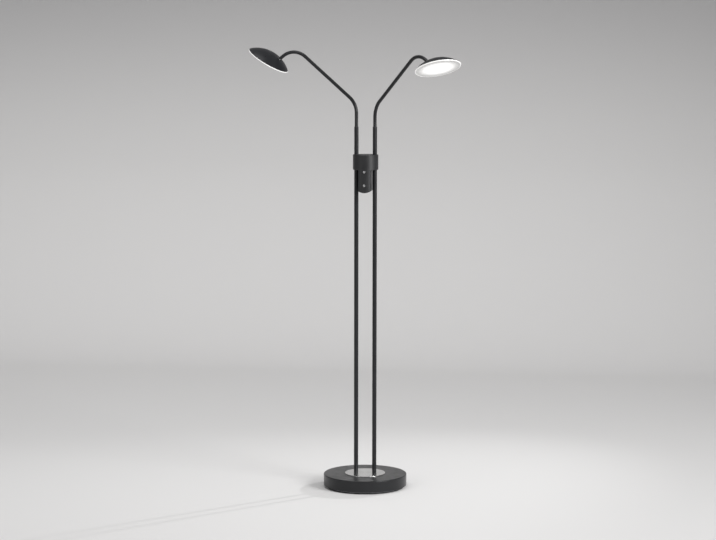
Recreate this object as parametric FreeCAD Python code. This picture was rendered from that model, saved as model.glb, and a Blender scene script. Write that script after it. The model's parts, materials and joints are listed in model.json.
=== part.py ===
import FreeCAD, Part
import os
from math import cos, pi, radians, sin, sqrt

# Twin head floor lamp: a weighted round base, two poles, a push button control unit
# and two bent arms that lift and turn in the poles, each with a dished lamp head on a ball.
# Millimetres, +Z up, origin on the floor under the base centre, front at -Y.

# Fits
PRESS_GAP = 0.02
RUNNING_GAP = 0.08
FREE_GAP = 0.3
SCREW_GAP = 0.15

# Cutting bodies run this far past what they cut
PAST = 1.0

# Base
BASE_DIAMETER = 280.0
COVER_HEIGHT = 38.0
COVER_WALL = 1.5
COVER_EDGE_RADIUS = 2.5
COVER_HEM = 5.0
PAD_THICKNESS = 4.0
PAD_MARGIN = 2.0
PLATE_THICKNESS = 2.0
PLATE_GAP = 0.5
PLATE_SCREW_MARGIN = 38.0
PLATE_SCREW_COUNT = 4
PLATE_SCREW_GRIP = 6.0
PILOT_SPARE = 2.0
COVER_FLOOR_GAP = 7.0
WEIGHT_MARGIN = 2.0
WEIGHT_THICKNESS = 10.0
HUB_MARGIN = 8.5
RIB_COUNT = 8
RIB_THICKNESS = 7.0
RIB_FOOT_MARGIN = 8.0
RIB_DROP = 4.0
INSET_DIAMETER = 136.0
INSET_THICKNESS = 2.0
INSET_BEVEL = 0.7
CABLE_BORE = 6.4
GLAND_BODY_DIAMETER = 12.0
GLAND_FLANGE_DIAMETER = 17.0
GLAND_FLANGE = 2.0
GLAND_INSIDE = 9.0
GLAND_NUT_ACROSS = 17.0
GLAND_NUT_THICKNESS = 3.0

# Poles and their feet
POLE_SPACING = 62.0
POLE_WALL = 0.8
POLE_TOP_Z = 1216.5
STUD_DIAMETER = 10.0
STUD_BORE = 7.0
STUD_IN_POLE = 23.0
INSERT_LENGTH = 25.0
NUT_ACROSS = 17.0
NUT_THICKNESS = 6.0
WASHER_DIAMETER = 22.0
WASHER_THICKNESS = 2.0
STUD_PAST_NUT = 1.0
NUT_POCKET_DIAMETER = 25.0
NUT_POCKET_DEPTH = 13.0

# Control unit on the poles, placed down from their tops
HOUSING_MARGIN = 4.25
DRUM_DROP = 141.5
DRUM_HEIGHT = 50.0
CAP_THICKNESS = 3.0
CAP_CHAMFER = 0.8
CAP_LIP = 2.0
TONGUE_POLE_GAP = 3.35
TONGUE_LENGTH = 76.0
TONGUE_BOTTOM_RADIUS = 42.0
HOUSING_WALL = 2.2
HOUSING_EDGE_RADIUS = 0.8
BRACKET_RISE = 15.0
BRACKET_HEIGHT = 9.0
BRACKET_DEPTH = 26.0
BRACKET_SIDE_MARGIN = 9.0
SET_SCREW_DIAMETER = 4.0
SET_SCREW_SOCKET = 2.0
HOUSING_SCREW_DIAMETER = 3.0
HOUSING_SCREW_GRIP = 9.0
BOSS_DIAMETER = 7.0
UPPER_BOSS_MARGIN = 8.75
LOWER_BOSS_MARGIN = 9.9
LOWER_BOSS_RISE = 14.0
SCREW_HEAD_DIAMETER = 5.4
SCREW_HEAD_HEIGHT = 2.2
SOCKET_FLOOR_SHARE = 0.4
SCREW_SINK = 6.0
BOARD_THICKNESS = 1.6
BOARD_SIDE_GAP = 3.9
BOARD_FOOT_GAP = 0.3
BOARD_HEAD_RISE = 9.0
BOARD_SETBACK = 13.9
BOARD_SEAT_DIAMETER = 10.0

# Push buttons
BUTTON_DIAMETER = 8.0
BUTTON_PROUD = 1.8
BUTTON_CROWN = 0.6
BUTTON_FLANGE_LIP = 1.2
BUTTON_FLANGE = 1.2
BUTTON_FLANGE_GAP = 0.1
BUTTON_STEM_DIAMETER = 3.2
BUTTON_DROPS = {"upper": 6.0, "lower": 51.0}
BUTTON_TRAVEL = 0.9
SWITCH_SIDE = 6.2
SWITCH_DEPTH = 3.6
SWITCH_FLOOR = 0.6
PLUNGER_DIAMETER = 3.2
PLUNGER_PROUD = 1.5

# Arms, drawn in their own plane with x outwards from the pole
ARM_DIAMETER = 11.5
ARM_WALL = 1.0
ARM_TAIL = 240.0
SLEEVE_WALL = 0.54
LOWER_BEND_RADIUS = 70.0
RISE_ANGLE = 40.5
ARM_RUN = 206.0
HOOK_RADIUS = 62.0
DROP_ANGLE = 38.0
NECK_TO_BALL = 22.0
SLEEVE_LENGTH = 30.0
SLEEVE_SLIT = 1.6
BUSH_LENGTH = 40.0
BUSH_COLLAR = 1.5
END_PLUG_LENGTH = 14.0
END_PLUG_FLANGE = 2.5
ARM_BEAD_HEIGHT = 1.6

# Ball joint between neck and head
BALL_DIAMETER = 22.0
TOP_FLAT_DIAMETER = 10.4
BOTTOM_FLAT_DIAMETER = 13.7
TRUNNION_DIAMETER = 5.0
TRUNNION_LENGTH = 3.0
SPIGOT_DIAMETER = 8.0
SPIGOT_BORE = 5.0
SPIGOT_PLUG_LENGTH = 14.0
SPIGOT_TAIL = 10.7
CLIP_THICKNESS = 0.7
CLIP_DIAMETER = 10.0
CLIP_MOUTH = 5.6
CLIP_GROOVE_DEPTH = 0.5
CUP_WALL = 4.0
CUP_UNDERCUT = 1.5
CUP_FOOT = 2.5
STRAP_THICKNESS = 1.5
STRAP_DISC_MARGIN = 2.0
STRAP_EAR_WIDTH = 9.0
STRAP_SCREW_MARGIN = 9.0
STRAP_SCREW_DIAMETER = 2.4
STRAP_SCREW_HEAD = 4.6
STRAP_SCREW_HEAD_HEIGHT = 1.5
STRAP_SCREW_LENGTH = 7.0
STRAP_BOSS_DIAMETER = 7.0

# Lamp heads, drawn with the dome upwards and the rim in the plane z = 0
HEAD_DIAMETER = 150.0
DOME_HEIGHT = 30.0
DOME_WALL = 1.2
BALL_DEPTH = 6.0
NECK_LEAN = 17.0
DIFFUSER_RIM = 3.0
DIFFUSER_WALL = 2.0
DIFFUSER_EDGE_RADIUS = 0.9
DIFFUSER_LIP_HEIGHT = 2.2
DIFFUSER_LIP_WALL = 1.8
SPREADER_GAP = 1.85
SPREADER_THICKNESS = 1.5
SPREADER_Z = 4.0
LED_BOARD_MARGIN = 3.0
LED_BOARD_THICKNESS = 1.6
HEAD_SCREW_MARGIN = 6.0
HEAD_SCREW_COUNT = 3
HEAD_SCREW_DIAMETER = 2.8
HEAD_SCREW_HEAD = 5.4
HEAD_SCREW_HEAD_HEIGHT = 1.7
HEAD_SCREW_GRIP = 5.0
HEAD_BOSS_DIAMETER = 8.0
LED_SIZE = 3.5
LED_HEIGHT = 0.8
LED_EDGE_MARGIN = 19.0
LED_RING_PITCH = 14.0
LED_SPACING = 19.0

# How each side stands in the rest position: degrees, and how far the arm's bend is above the pole
SIDES = {
    "left": {"pole": -1, "arm_azimuth": 168.0, "arm_rise": 45.5, "head_swivel": 0.0, "head_tilt": 3.0},
    "right": {"pole": 1, "arm_azimuth": -44.0, "arm_rise": 33.5, "head_swivel": 10.0, "head_tilt": 14.0},
}

# Levels and radii worked out from the values above
BASE_TOP_Z = COVER_FLOOR_GAP + COVER_HEIGHT
PLATE_TOP_Z = PAD_THICKNESS + PLATE_THICKNESS
PLATE_R = BASE_DIAMETER / 2 - COVER_WALL - COVER_HEM - PLATE_GAP
WEIGHT_R = PLATE_R - WEIGHT_MARGIN
POLE_FOOT_Z = BASE_TOP_Z + INSET_THICKNESS
POLE_X = POLE_SPACING / 2
HUB_R = POLE_X + NUT_POCKET_DIAMETER / 2 + HUB_MARGIN
ARM_R = ARM_DIAMETER / 2
POLE_BORE_R = ARM_R + SLEEVE_WALL + 2 * RUNNING_GAP
POLE_R = POLE_BORE_R + POLE_WALL
HOUSING_R = POLE_X + POLE_R + HOUSING_MARGIN
DRUM_BOTTOM_Z = POLE_TOP_Z - DRUM_DROP
DRUM_TOP_Z = DRUM_BOTTOM_Z + DRUM_HEIGHT
CAP_Z = DRUM_TOP_Z - CAP_THICKNESS
TONGUE_HALF = POLE_X - POLE_R - TONGUE_POLE_GAP
TONGUE_BOTTOM_Z = DRUM_BOTTOM_Z - TONGUE_LENGTH
BRACKET_Z = DRUM_BOTTOM_Z + BRACKET_RISE
BOARD_FRONT_Y = -HOUSING_R + BOARD_SETBACK
BALL_R = BALL_DIAMETER / 2
BALL_TOP_FLAT = sqrt(BALL_R ** 2 - (TOP_FLAT_DIAMETER / 2) ** 2)
BALL_BOTTOM_FLAT = sqrt(BALL_R ** 2 - (BOTTOM_FLAT_DIAMETER / 2) ** 2)
CUP_R = BALL_R + CUP_WALL
CUP_BORE_R = BALL_R - CUP_UNDERCUT
CUP_BOTTOM = BALL_R - CUP_FOOT
STRAP_SCREW_REACH = CUP_R + STRAP_SCREW_MARGIN
HEAD_R = HEAD_DIAMETER / 2
DOME_R = (HEAD_R ** 2 + DOME_HEIGHT ** 2) / (2 * DOME_HEIGHT)
DOME_BORE_R = DOME_R - DOME_WALL
DOME_CENTRE_Z = DOME_HEIGHT - DOME_R
CUP_TOP = BALL_DEPTH - DOME_R + sqrt(DOME_BORE_R ** 2 - CUP_R ** 2) - FREE_GAP
SPREADER_TOP = SPREADER_Z + SPREADER_THICKNESS
SPREADER_R = sqrt(DOME_BORE_R ** 2 - (SPREADER_TOP - DOME_CENTRE_Z) ** 2) - SPREADER_GAP
LED_BOARD_R = SPREADER_R - LED_BOARD_MARGIN

X_AXIS = FreeCAD.Vector(1, 0, 0)
Y_AXIS = FreeCAD.Vector(0, 1, 0)
Z_AXIS = FreeCAD.Vector(0, 0, 1)


def vec(x, y, z):
    return FreeCAD.Vector(x, y, z)


def move(x=0.0, y=0.0, z=0.0):
    return FreeCAD.Placement(vec(x, y, z), FreeCAD.Rotation())


def turn(axis, angle, centre=vec(0, 0, 0)):
    return FreeCAD.Placement(vec(0, 0, 0), FreeCAD.Rotation(axis, angle), centre)


def placed(shape, placement):
    copy = shape.copy()
    copy.Placement = placement.multiply(copy.Placement)
    return copy


def disc(radius, z0, z1, x=0.0, y=0.0):
    return Part.makeCylinder(radius, z1 - z0, vec(x, y, z0))


def ring(outer, inner, z0, z1, x=0.0, y=0.0):
    return disc(outer, z0, z1, x, y).cut(disc(inner, z0 - PAST, z1 + PAST, x, y))


def rod_y(radius, y0, y1, x, z):
    """A cylinder along Y, from y0 to y1."""
    return Part.makeCylinder(radius, y1 - y0, vec(x, y0, z), Y_AXIS)


def block(x0, x1, y0, y1, z0, z1):
    return Part.makeBox(x1 - x0, y1 - y0, z1 - z0, vec(x0, y0, z0))


def hexagon(across, z0, z1, x=0.0, y=0.0):
    corner = across / sqrt(3)
    points = [vec(x + corner * cos(radians(a)), y + corner * sin(radians(a)), z0) for a in range(0, 361, 60)]
    return Part.Face(Part.makePolygon(points)).extrude(vec(0, 0, z1 - z0))


def spun(points):
    """Turn a closed outline of (radius, z) points about the Z axis."""
    outline = Part.makePolygon([vec(r, 0, z) for r, z in points + points[:1]])
    return Part.Face(outline).revolve(vec(0, 0, 0), Z_AXIS, 360)


def screw(shank_radius, head_radius, head_height, length):
    """A screw along +Z: the head sits below z = 0 and the shank above it."""
    body = disc(shank_radius, 0, length).fuse(disc(head_radius, -head_height, 0))
    socket = hexagon(head_radius, -head_height - PAST, -head_height * SOCKET_FLOOR_SHARE)
    return body.removeSplitter().cut(socket)


def on_circle(radius, count, start):
    """Evenly spaced (x, y) points on a circle, the first one turned by that many steps."""
    angles = [2 * pi * (k + start) / count for k in range(count)]
    return [(radius * cos(a), radius * sin(a)) for a in angles]


def level_edges(shape, z):
    """The edges that lie level at the height z, apart from seams and short ones."""
    close, short = 1e-6, 1.0
    return [e for e in shape.Edges if abs(e.BoundBox.ZMin - z) < close and e.BoundBox.ZLength < close
            and e.BoundBox.XLength > short]


def both_poles(make):
    """The same piece made at each pole, as a group of separate solids."""
    return Part.makeCompound([make(-POLE_X), make(POLE_X)])


# Base
def base_cover():
    outer = disc(BASE_DIAMETER / 2, COVER_FLOOR_GAP, BASE_TOP_Z)
    outer = outer.makeFillet(COVER_EDGE_RADIUS, level_edges(outer, BASE_TOP_Z))
    inner_r = BASE_DIAMETER / 2 - COVER_WALL
    hollow = disc(inner_r, COVER_FLOOR_GAP + COVER_WALL, BASE_TOP_Z - COVER_WALL)
    mouth = disc(inner_r - COVER_HEM, COVER_FLOOR_GAP - PAST, COVER_FLOOR_GAP + COVER_WALL + PAST)
    shell = outer.cut(hollow).cut(mouth)
    stud_hole_r = STUD_DIAMETER / 2 + SCREW_GAP
    for x in (-POLE_X, POLE_X):
        shell = shell.cut(disc(stud_hole_r, BASE_TOP_Z - COVER_WALL - PAST, BASE_TOP_Z + PAST, x))
    gland_hole_r = GLAND_BODY_DIAMETER / 2 + SCREW_GAP
    return shell.cut(rod_y(gland_hole_r, inner_r - GLAND_INSIDE, BASE_DIAMETER / 2 + PAST, 0, gland_z()))


def base_weight():
    """Cast disc with a hub that carries the poles and ribs that run out to its edge."""
    top = PLATE_TOP_Z + WEIGHT_THICKNESS
    hub_top = BASE_TOP_Z - COVER_WALL
    casting = disc(WEIGHT_R, PLATE_TOP_Z, top).fuse(disc(HUB_R, PLATE_TOP_Z, hub_top))
    outer_end = WEIGHT_R - RIB_FOOT_MARGIN
    root = HUB_R - RIB_THICKNESS
    rib_top = hub_top - RIB_DROP
    side = [(root, PLATE_TOP_Z), (outer_end, PLATE_TOP_Z), (outer_end, top), (HUB_R, rib_top),
            (root, rib_top), (root, PLATE_TOP_Z)]
    outline = Part.makePolygon([vec(r, -RIB_THICKNESS / 2, z) for r, z in side])
    rib = Part.Face(outline).extrude(vec(0, RIB_THICKNESS, 0))
    step = 360.0 / RIB_COUNT
    for k in range(RIB_COUNT):
        casting = casting.fuse(placed(rib, turn(Z_AXIS, (k + 0.5) * step)))
    casting = casting.removeSplitter()
    for x in (-POLE_X, POLE_X):
        casting = casting.cut(disc(STUD_DIAMETER / 2 + SCREW_GAP, 0, hub_top + PAST, x))
        casting = casting.cut(disc(NUT_POCKET_DIAMETER / 2, 0, PLATE_TOP_Z + NUT_POCKET_DEPTH, x))
    pilot_end = PLATE_TOP_Z + PLATE_SCREW_GRIP + PILOT_SPARE
    for x, y in plate_screw_places():
        casting = casting.cut(disc(HOUSING_SCREW_DIAMETER / 2 + PRESS_GAP, 0, pilot_end, x, y))
    return casting


def plate_screw_places():
    return on_circle(PLATE_R - PLATE_SCREW_MARGIN, PLATE_SCREW_COUNT, 0.5)


def bottom_plate():
    plate = disc(PLATE_R, PAD_THICKNESS, PLATE_TOP_Z)
    for x, y in plate_screw_places():
        plate = plate.cut(disc(HOUSING_SCREW_DIAMETER / 2 + SCREW_GAP, 0, PLATE_TOP_Z + PAST, x, y))
    return plate


def bottom_screws():
    length = PLATE_THICKNESS + PLATE_SCREW_GRIP
    one = screw(HOUSING_SCREW_DIAMETER / 2, SCREW_HEAD_DIAMETER / 2, SCREW_HEAD_HEIGHT, length)
    return Part.makeCompound([placed(one, move(x, y, PAD_THICKNESS)) for x, y in plate_screw_places()])


def floor_pad():
    """Foam disc that the lamp stands on, with room round the heads of the plate's screws."""
    pad = disc(PLATE_R - PAD_MARGIN, 0, PAD_THICKNESS)
    for x, y in plate_screw_places():
        pad = pad.cut(disc(SCREW_HEAD_DIAMETER / 2 + FREE_GAP, -PAST, PAD_THICKNESS + PAST, x, y))
    return pad


def inset_disc():
    r = INSET_DIAMETER / 2
    plate = spun([(0, BASE_TOP_Z), (r, BASE_TOP_Z), (r, POLE_FOOT_Z - INSET_BEVEL),
                  (r - INSET_BEVEL, POLE_FOOT_Z), (0, POLE_FOOT_Z)])
    for x in (-POLE_X, POLE_X):
        plate = plate.cut(disc(STUD_DIAMETER / 2 + SCREW_GAP, BASE_TOP_Z - PAST, POLE_FOOT_Z + PAST, x))
    return plate


def gland_z():
    return COVER_FLOOR_GAP + COVER_HEIGHT / 2


def gland_flat_y():
    """Where the flat face of the gland's flange meets the round wall of the cover."""
    return sqrt((BASE_DIAMETER / 2) ** 2 - (GLAND_FLANGE_DIAMETER / 2) ** 2)


def cable_gland():
    wall_y = gland_flat_y()
    r = BASE_DIAMETER / 2
    flange = rod_y(GLAND_FLANGE_DIAMETER / 2, wall_y, r + GLAND_FLANGE, 0, gland_z())
    flange = flange.cut(disc(r + PRESS_GAP, 0, BASE_TOP_Z))
    body = rod_y(GLAND_BODY_DIAMETER / 2, r - COVER_WALL - GLAND_INSIDE, r + GLAND_FLANGE / 2, 0, gland_z())
    bore = rod_y(CABLE_BORE / 2, 0, r + GLAND_FLANGE + PAST, 0, gland_z())
    return body.fuse(flange).removeSplitter().cut(bore)


def gland_nut():
    inside_y = sqrt((BASE_DIAMETER / 2 - COVER_WALL) ** 2 - (GLAND_NUT_ACROSS / sqrt(3)) ** 2)
    bore = disc(GLAND_BODY_DIAMETER / 2 + PRESS_GAP, -PAST, GLAND_NUT_THICKNESS + PAST)
    nut = hexagon(GLAND_NUT_ACROSS, 0, GLAND_NUT_THICKNESS).cut(bore)
    return placed(nut, move(0, inside_y, gland_z()).multiply(turn(X_AXIS, 90)))


def foot_studs():
    bottom = PLATE_TOP_Z + NUT_POCKET_DEPTH - WASHER_THICKNESS - NUT_THICKNESS - STUD_PAST_NUT
    return both_poles(lambda x: ring(STUD_DIAMETER / 2, STUD_BORE / 2, bottom, POLE_FOOT_Z + STUD_IN_POLE, x))


def foot_washers():
    top = PLATE_TOP_Z + NUT_POCKET_DEPTH
    bore = STUD_DIAMETER / 2 + SCREW_GAP
    return both_poles(lambda x: ring(WASHER_DIAMETER / 2, bore, top - WASHER_THICKNESS, top, x))


def foot_nuts():
    top = PLATE_TOP_Z + NUT_POCKET_DEPTH - WASHER_THICKNESS
    bottom = top - NUT_THICKNESS

    def nut(x):
        return hexagon(NUT_ACROSS, bottom, top, x).cut(disc(STUD_DIAMETER / 2 + PRESS_GAP, 0, BASE_TOP_Z, x))

    return both_poles(nut)


def foot_inserts():
    top = POLE_FOOT_Z + INSERT_LENGTH
    bore = STUD_DIAMETER / 2 + PRESS_GAP
    return both_poles(lambda x: ring(POLE_BORE_R - PRESS_GAP, bore, POLE_FOOT_Z, top, x))


# Poles
def pole(side):
    return ring(POLE_R, POLE_BORE_R, POLE_FOOT_Z, POLE_TOP_Z, SIDES[side]["pole"] * POLE_X)


def pole_bush(side):
    """Liner that guides the arm, with a collar that closes the top of the pole."""
    x = SIDES[side]["pole"] * POLE_X
    bore = ARM_R + RUNNING_GAP
    liner = ring(POLE_BORE_R - PRESS_GAP, bore, POLE_TOP_Z - BUSH_LENGTH, POLE_TOP_Z, x)
    collar = ring(POLE_R, bore, POLE_TOP_Z, POLE_TOP_Z + BUSH_COLLAR, x)
    return liner.fuse(collar).removeSplitter()


# Control unit
def tongue_outline(half_width, bottom_z, bottom_radius, top_z, depth):
    """The upright block below the drum, with its rounded lower end."""
    corner_z = bottom_z + bottom_radius - sqrt(bottom_radius ** 2 - half_width ** 2)
    low_left, low_right = vec(-half_width, -depth, corner_z), vec(half_width, -depth, corner_z)
    top_left, top_right = vec(-half_width, -depth, top_z), vec(half_width, -depth, top_z)
    edges = [Part.Arc(low_right, vec(0, -depth, bottom_z), low_left).toShape(),
             Part.LineSegment(low_left, top_left).toShape(),
             Part.LineSegment(top_left, top_right).toShape(),
             Part.LineSegment(top_right, low_right).toShape()]
    return Part.Face(Part.Wire(edges)).extrude(vec(0, 2 * depth, 0))


def housing_body(inset):
    """Drum and tongue as one solid, drawn in from the outside by the inset."""
    r = HOUSING_R - inset
    drum = disc(r, DRUM_BOTTOM_Z + inset, CAP_Z)
    column = disc(r, TONGUE_BOTTOM_Z - PAST, DRUM_BOTTOM_Z + inset + PAST)
    tongue = tongue_outline(TONGUE_HALF - inset, TONGUE_BOTTOM_Z + inset, TONGUE_BOTTOM_RADIUS - inset,
                            DRUM_BOTTOM_Z + inset + PAST, HOUSING_R)
    return drum.fuse(column.common(tongue)).removeSplitter()


def rounded_housing():
    """The outer form with its lower rim and the ends of the tongue softened."""
    body = housing_body(0)
    below = DRUM_BOTTOM_Z - TONGUE_LENGTH / 2
    lower = [e for e in body.Edges if e.BoundBox.ZMax < below and e.BoundBox.XLength > TONGUE_HALF / 2]
    edges = level_edges(body, DRUM_BOTTOM_Z) + lower
    return body.makeFillet(HOUSING_EDGE_RADIUS, [e for e in edges if e.Curve.TypeId != "Part::GeomLine"])


def housing_shell():
    hollow = housing_body(HOUSING_WALL)
    shell = rounded_housing().cut(hollow).cut(disc(HOUSING_R - HOUSING_WALL, CAP_Z - PAST, CAP_Z + PAST))
    for x in (-POLE_X, POLE_X):
        shell = shell.cut(disc(POLE_R + SCREW_GAP, DRUM_BOTTOM_Z - PAST, CAP_Z, x))
    return shell


def screw_places():
    """Places and inner ends of the four housing screws: x, z and where the bosses stop."""
    bracket_z = BRACKET_Z + BRACKET_HEIGHT / 2
    stop = BRACKET_DEPTH / 2
    upper_x = POLE_X - POLE_R - UPPER_BOSS_MARGIN
    lower_x = TONGUE_HALF - LOWER_BOSS_MARGIN
    lower_z = TONGUE_BOTTOM_Z + LOWER_BOSS_RISE
    return [(-upper_x, bracket_z, stop), (upper_x, bracket_z, stop),
            (-lower_x, lower_z, 0.0), (lower_x, lower_z, 0.0)]


def front_housing():
    half = block(-HOUSING_R, HOUSING_R, -HOUSING_R - PAST, 0, TONGUE_BOTTOM_Z - PAST, CAP_Z)
    shell = housing_shell().common(half)
    inside = housing_body(HOUSING_WALL / 2)
    for x, z, stop in screw_places():
        boss = rod_y(BOSS_DIAMETER / 2, -HOUSING_R, -stop, x, z).common(inside)
        if stop == 0:
            seat = rod_y(BOARD_SEAT_DIAMETER / 2, -HOUSING_R, BOARD_FRONT_Y, x, z).common(inside)
            boss = boss.fuse(seat)
        shell = shell.fuse(boss)
    shell = shell.removeSplitter()
    for x, z, stop in screw_places():
        pilot_end = -stop - HOUSING_SCREW_GRIP - PILOT_SPARE
        shell = shell.cut(rod_y(HOUSING_SCREW_DIAMETER / 2 + PRESS_GAP, pilot_end, PAST, x, z))
    button_hole_r = BUTTON_DIAMETER / 2 + RUNNING_GAP
    for name in BUTTON_DROPS:
        inner_end = -HOUSING_R + 2 * HOUSING_WALL
        shell = shell.cut(rod_y(button_hole_r, -HOUSING_R - PAST, inner_end, 0, button_z(name)))
    return shell


def rear_housing():
    half = block(-HOUSING_R, HOUSING_R, 0, HOUSING_R + PAST, TONGUE_BOTTOM_Z - PAST, CAP_Z)
    shell = housing_shell().common(half)
    inside = housing_body(HOUSING_WALL / 2)
    for x, z, stop in screw_places():
        shell = shell.fuse(rod_y(BOSS_DIAMETER / 2, stop, HOUSING_R, x, z).common(inside))
    shell = shell.removeSplitter()
    for x, z, stop in screw_places():
        shell = shell.cut(rod_y(HOUSING_SCREW_DIAMETER / 2 + SCREW_GAP, stop - PAST, HOUSING_R, x, z))
        shell = shell.cut(rod_y(SCREW_HEAD_DIAMETER / 2 + SCREW_GAP, screw_seat_y(x), HOUSING_R + PAST, x, z))
    return shell


def button_z(name):
    return DRUM_BOTTOM_Z - BUTTON_DROPS[name]


def screw_seat_y(x):
    """Depth of the flat seat under a housing screw's head, at its own place on the round wall."""
    return sqrt(HOUSING_R ** 2 - x ** 2) - SCREW_SINK


def housing_screws():
    screws = []
    for x, z, stop in screw_places():
        length = screw_seat_y(x) + stop + HOUSING_SCREW_GRIP
        one = screw(HOUSING_SCREW_DIAMETER / 2, SCREW_HEAD_DIAMETER / 2, SCREW_HEAD_HEIGHT, length)
        screws.append(placed(one, move(x, screw_seat_y(x), z).multiply(turn(X_AXIS, 90))))
    return Part.makeCompound(screws)


def housing_cap():
    top = spun([(0, CAP_Z), (HOUSING_R, CAP_Z), (HOUSING_R, DRUM_TOP_Z - CAP_CHAMFER),
                (HOUSING_R - CAP_CHAMFER, DRUM_TOP_Z), (0, DRUM_TOP_Z)])
    lip_r = HOUSING_R - HOUSING_WALL - SCREW_GAP
    cap = top.fuse(ring(lip_r, lip_r - HOUSING_WALL, CAP_Z - CAP_LIP, CAP_Z)).removeSplitter()
    for x in (-POLE_X, POLE_X):
        cap = cap.cut(disc(POLE_R + SCREW_GAP, CAP_Z - CAP_LIP - PAST, DRUM_TOP_Z + PAST, x))
    return cap


def pole_bracket():
    """Clamp block that both poles pass through and both housing halves are screwed to."""
    reach = HOUSING_R - HOUSING_WALL - FREE_GAP
    limit = disc(reach, BRACKET_Z, BRACKET_Z + BRACKET_HEIGHT)
    half_x = POLE_X + POLE_R + BRACKET_SIDE_MARGIN
    half_y = BRACKET_DEPTH / 2
    bar = block(-half_x, half_x, -half_y, half_y, BRACKET_Z, BRACKET_Z + BRACKET_HEIGHT).common(limit)
    z = BRACKET_Z + BRACKET_HEIGHT / 2
    for x in (-POLE_X, POLE_X):
        bar = bar.cut(disc(POLE_R + PRESS_GAP, BRACKET_Z - PAST, DRUM_TOP_Z, x))
        bar = bar.cut(rod_y(SET_SCREW_DIAMETER / 2 + PRESS_GAP, 0, half_y + PAST, x, z))
    for x, _, _ in screw_places()[:2]:
        bar = bar.cut(rod_y(HOUSING_SCREW_DIAMETER / 2 + SCREW_GAP, -half_y - PAST, half_y + PAST, x, z))
    return bar


def set_screws():
    z = BRACKET_Z + BRACKET_HEIGHT / 2
    start = POLE_R + PRESS_GAP
    end = BRACKET_DEPTH / 2
    r = SET_SCREW_DIAMETER / 2

    def one(x):
        facing_back = move(x, end + PAST, z).multiply(turn(X_AXIS, 90))
        socket = placed(hexagon(r, 0, SET_SCREW_SOCKET + PAST), facing_back)
        return rod_y(r, start, end, x, z).cut(socket)

    return both_poles(one)


def circuit_board():
    half = TONGUE_HALF - BOARD_SIDE_GAP
    arc_rise = TONGUE_BOTTOM_RADIUS - sqrt((TONGUE_BOTTOM_RADIUS - HOUSING_WALL) ** 2 - half ** 2)
    bottom = TONGUE_BOTTOM_Z + arc_rise + BOARD_FOOT_GAP
    top = DRUM_BOTTOM_Z + BOARD_HEAD_RISE
    board = block(-half, half, BOARD_FRONT_Y, BOARD_FRONT_Y + BOARD_THICKNESS, bottom, top)
    for x, z, stop in screw_places()[2:]:
        board = board.cut(rod_y(BOSS_DIAMETER / 2 + SCREW_GAP, -HOUSING_R, 0, x, z))
    return board


def switches():
    """The two push switches on the board, each with the bore that its plunger runs in."""
    half = SWITCH_SIDE / 2
    bodies = []
    for name in BUTTON_DROPS:
        z = button_z(name)
        body = block(-half, half, BOARD_FRONT_Y - SWITCH_DEPTH, BOARD_FRONT_Y, z - half, z + half)
        bore = rod_y(PLUNGER_DIAMETER / 2 + RUNNING_GAP, -HOUSING_R, BOARD_FRONT_Y - SWITCH_FLOOR, 0, z)
        bodies.append(body.cut(bore))
    return Part.makeCompound(bodies)


def plunger_tip_y():
    return BOARD_FRONT_Y - SWITCH_DEPTH - PLUNGER_PROUD


def plunger(name):
    inner_end = BOARD_FRONT_Y - SWITCH_FLOOR - BUTTON_TRAVEL - FREE_GAP
    return rod_y(PLUNGER_DIAMETER / 2, plunger_tip_y(), inner_end, 0, button_z(name))


def button(name):
    """Crowned cap, the flange that keeps it in the wall, and a stem that reaches the switch."""
    inner_r = HOUSING_R - HOUSING_WALL
    cap_r = BUTTON_DIAMETER / 2
    flange_r = cap_r + BUTTON_FLANGE_LIP
    flange_front = -sqrt(inner_r ** 2 - flange_r ** 2) + BUTTON_FLANGE_GAP
    front = -HOUSING_R - BUTTON_PROUD
    edge = front + BUTTON_CROWN
    crown_r = (cap_r ** 2 + BUTTON_CROWN ** 2) / (2 * BUTTON_CROWN)
    z = button_z(name)
    around = (-flange_r, flange_r, z - flange_r, z + flange_r)
    crown = Part.makeSphere(crown_r, vec(0, front + crown_r, z))
    crown = crown.common(block(*around[:2], front - PAST, edge, *around[2:]))
    cap = rod_y(cap_r, front - PAST, flange_front + BUTTON_FLANGE / 2, 0, z)
    cap = cap.common(block(*around[:2], edge, 0, *around[2:]).fuse(crown))
    flange = rod_y(flange_r, flange_front, flange_front + BUTTON_FLANGE, 0, z)
    stem = rod_y(BUTTON_STEM_DIAMETER / 2, flange_front, plunger_tip_y(), 0, z)
    return cap.fuse(flange).fuse(stem).removeSplitter()


# Arms
def arm_path(tail):
    """Centre line of a bent arm in the XZ plane, from its lower end to the tube's end at the neck."""
    rise, drop = radians(RISE_ANGLE), radians(DROP_ANGLE)
    turn_low = pi / 2 - rise

    def low(a):
        return vec(LOWER_BEND_RADIUS * (1 - cos(a)), 0, LOWER_BEND_RADIUS * sin(a))

    start, bend_end = vec(0, 0, 0), low(turn_low)
    run_end = bend_end + vec(cos(rise), 0, sin(rise)) * ARM_RUN
    centre = run_end + vec(sin(rise), 0, -cos(rise)) * HOOK_RADIUS

    def hook(a):
        return centre + vec(sin(a), 0, cos(a)) * HOOK_RADIUS

    neck = vec(cos(drop), 0, -sin(drop))
    hook_end = hook(drop)
    tube_end = hook_end + neck * (NECK_TO_BALL - BALL_TOP_FLAT - RUNNING_GAP)
    edges = [Part.LineSegment(vec(0, 0, -tail), start).toShape(),
             Part.Arc(start, low(turn_low / 2), bend_end).toShape(),
             Part.LineSegment(bend_end, run_end).toShape(),
             Part.Arc(run_end, hook((drop - rise) / 2), hook_end).toShape(),
             Part.LineSegment(hook_end, tube_end).toShape()]
    return Part.Wire(edges), hook_end + neck * NECK_TO_BALL


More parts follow.
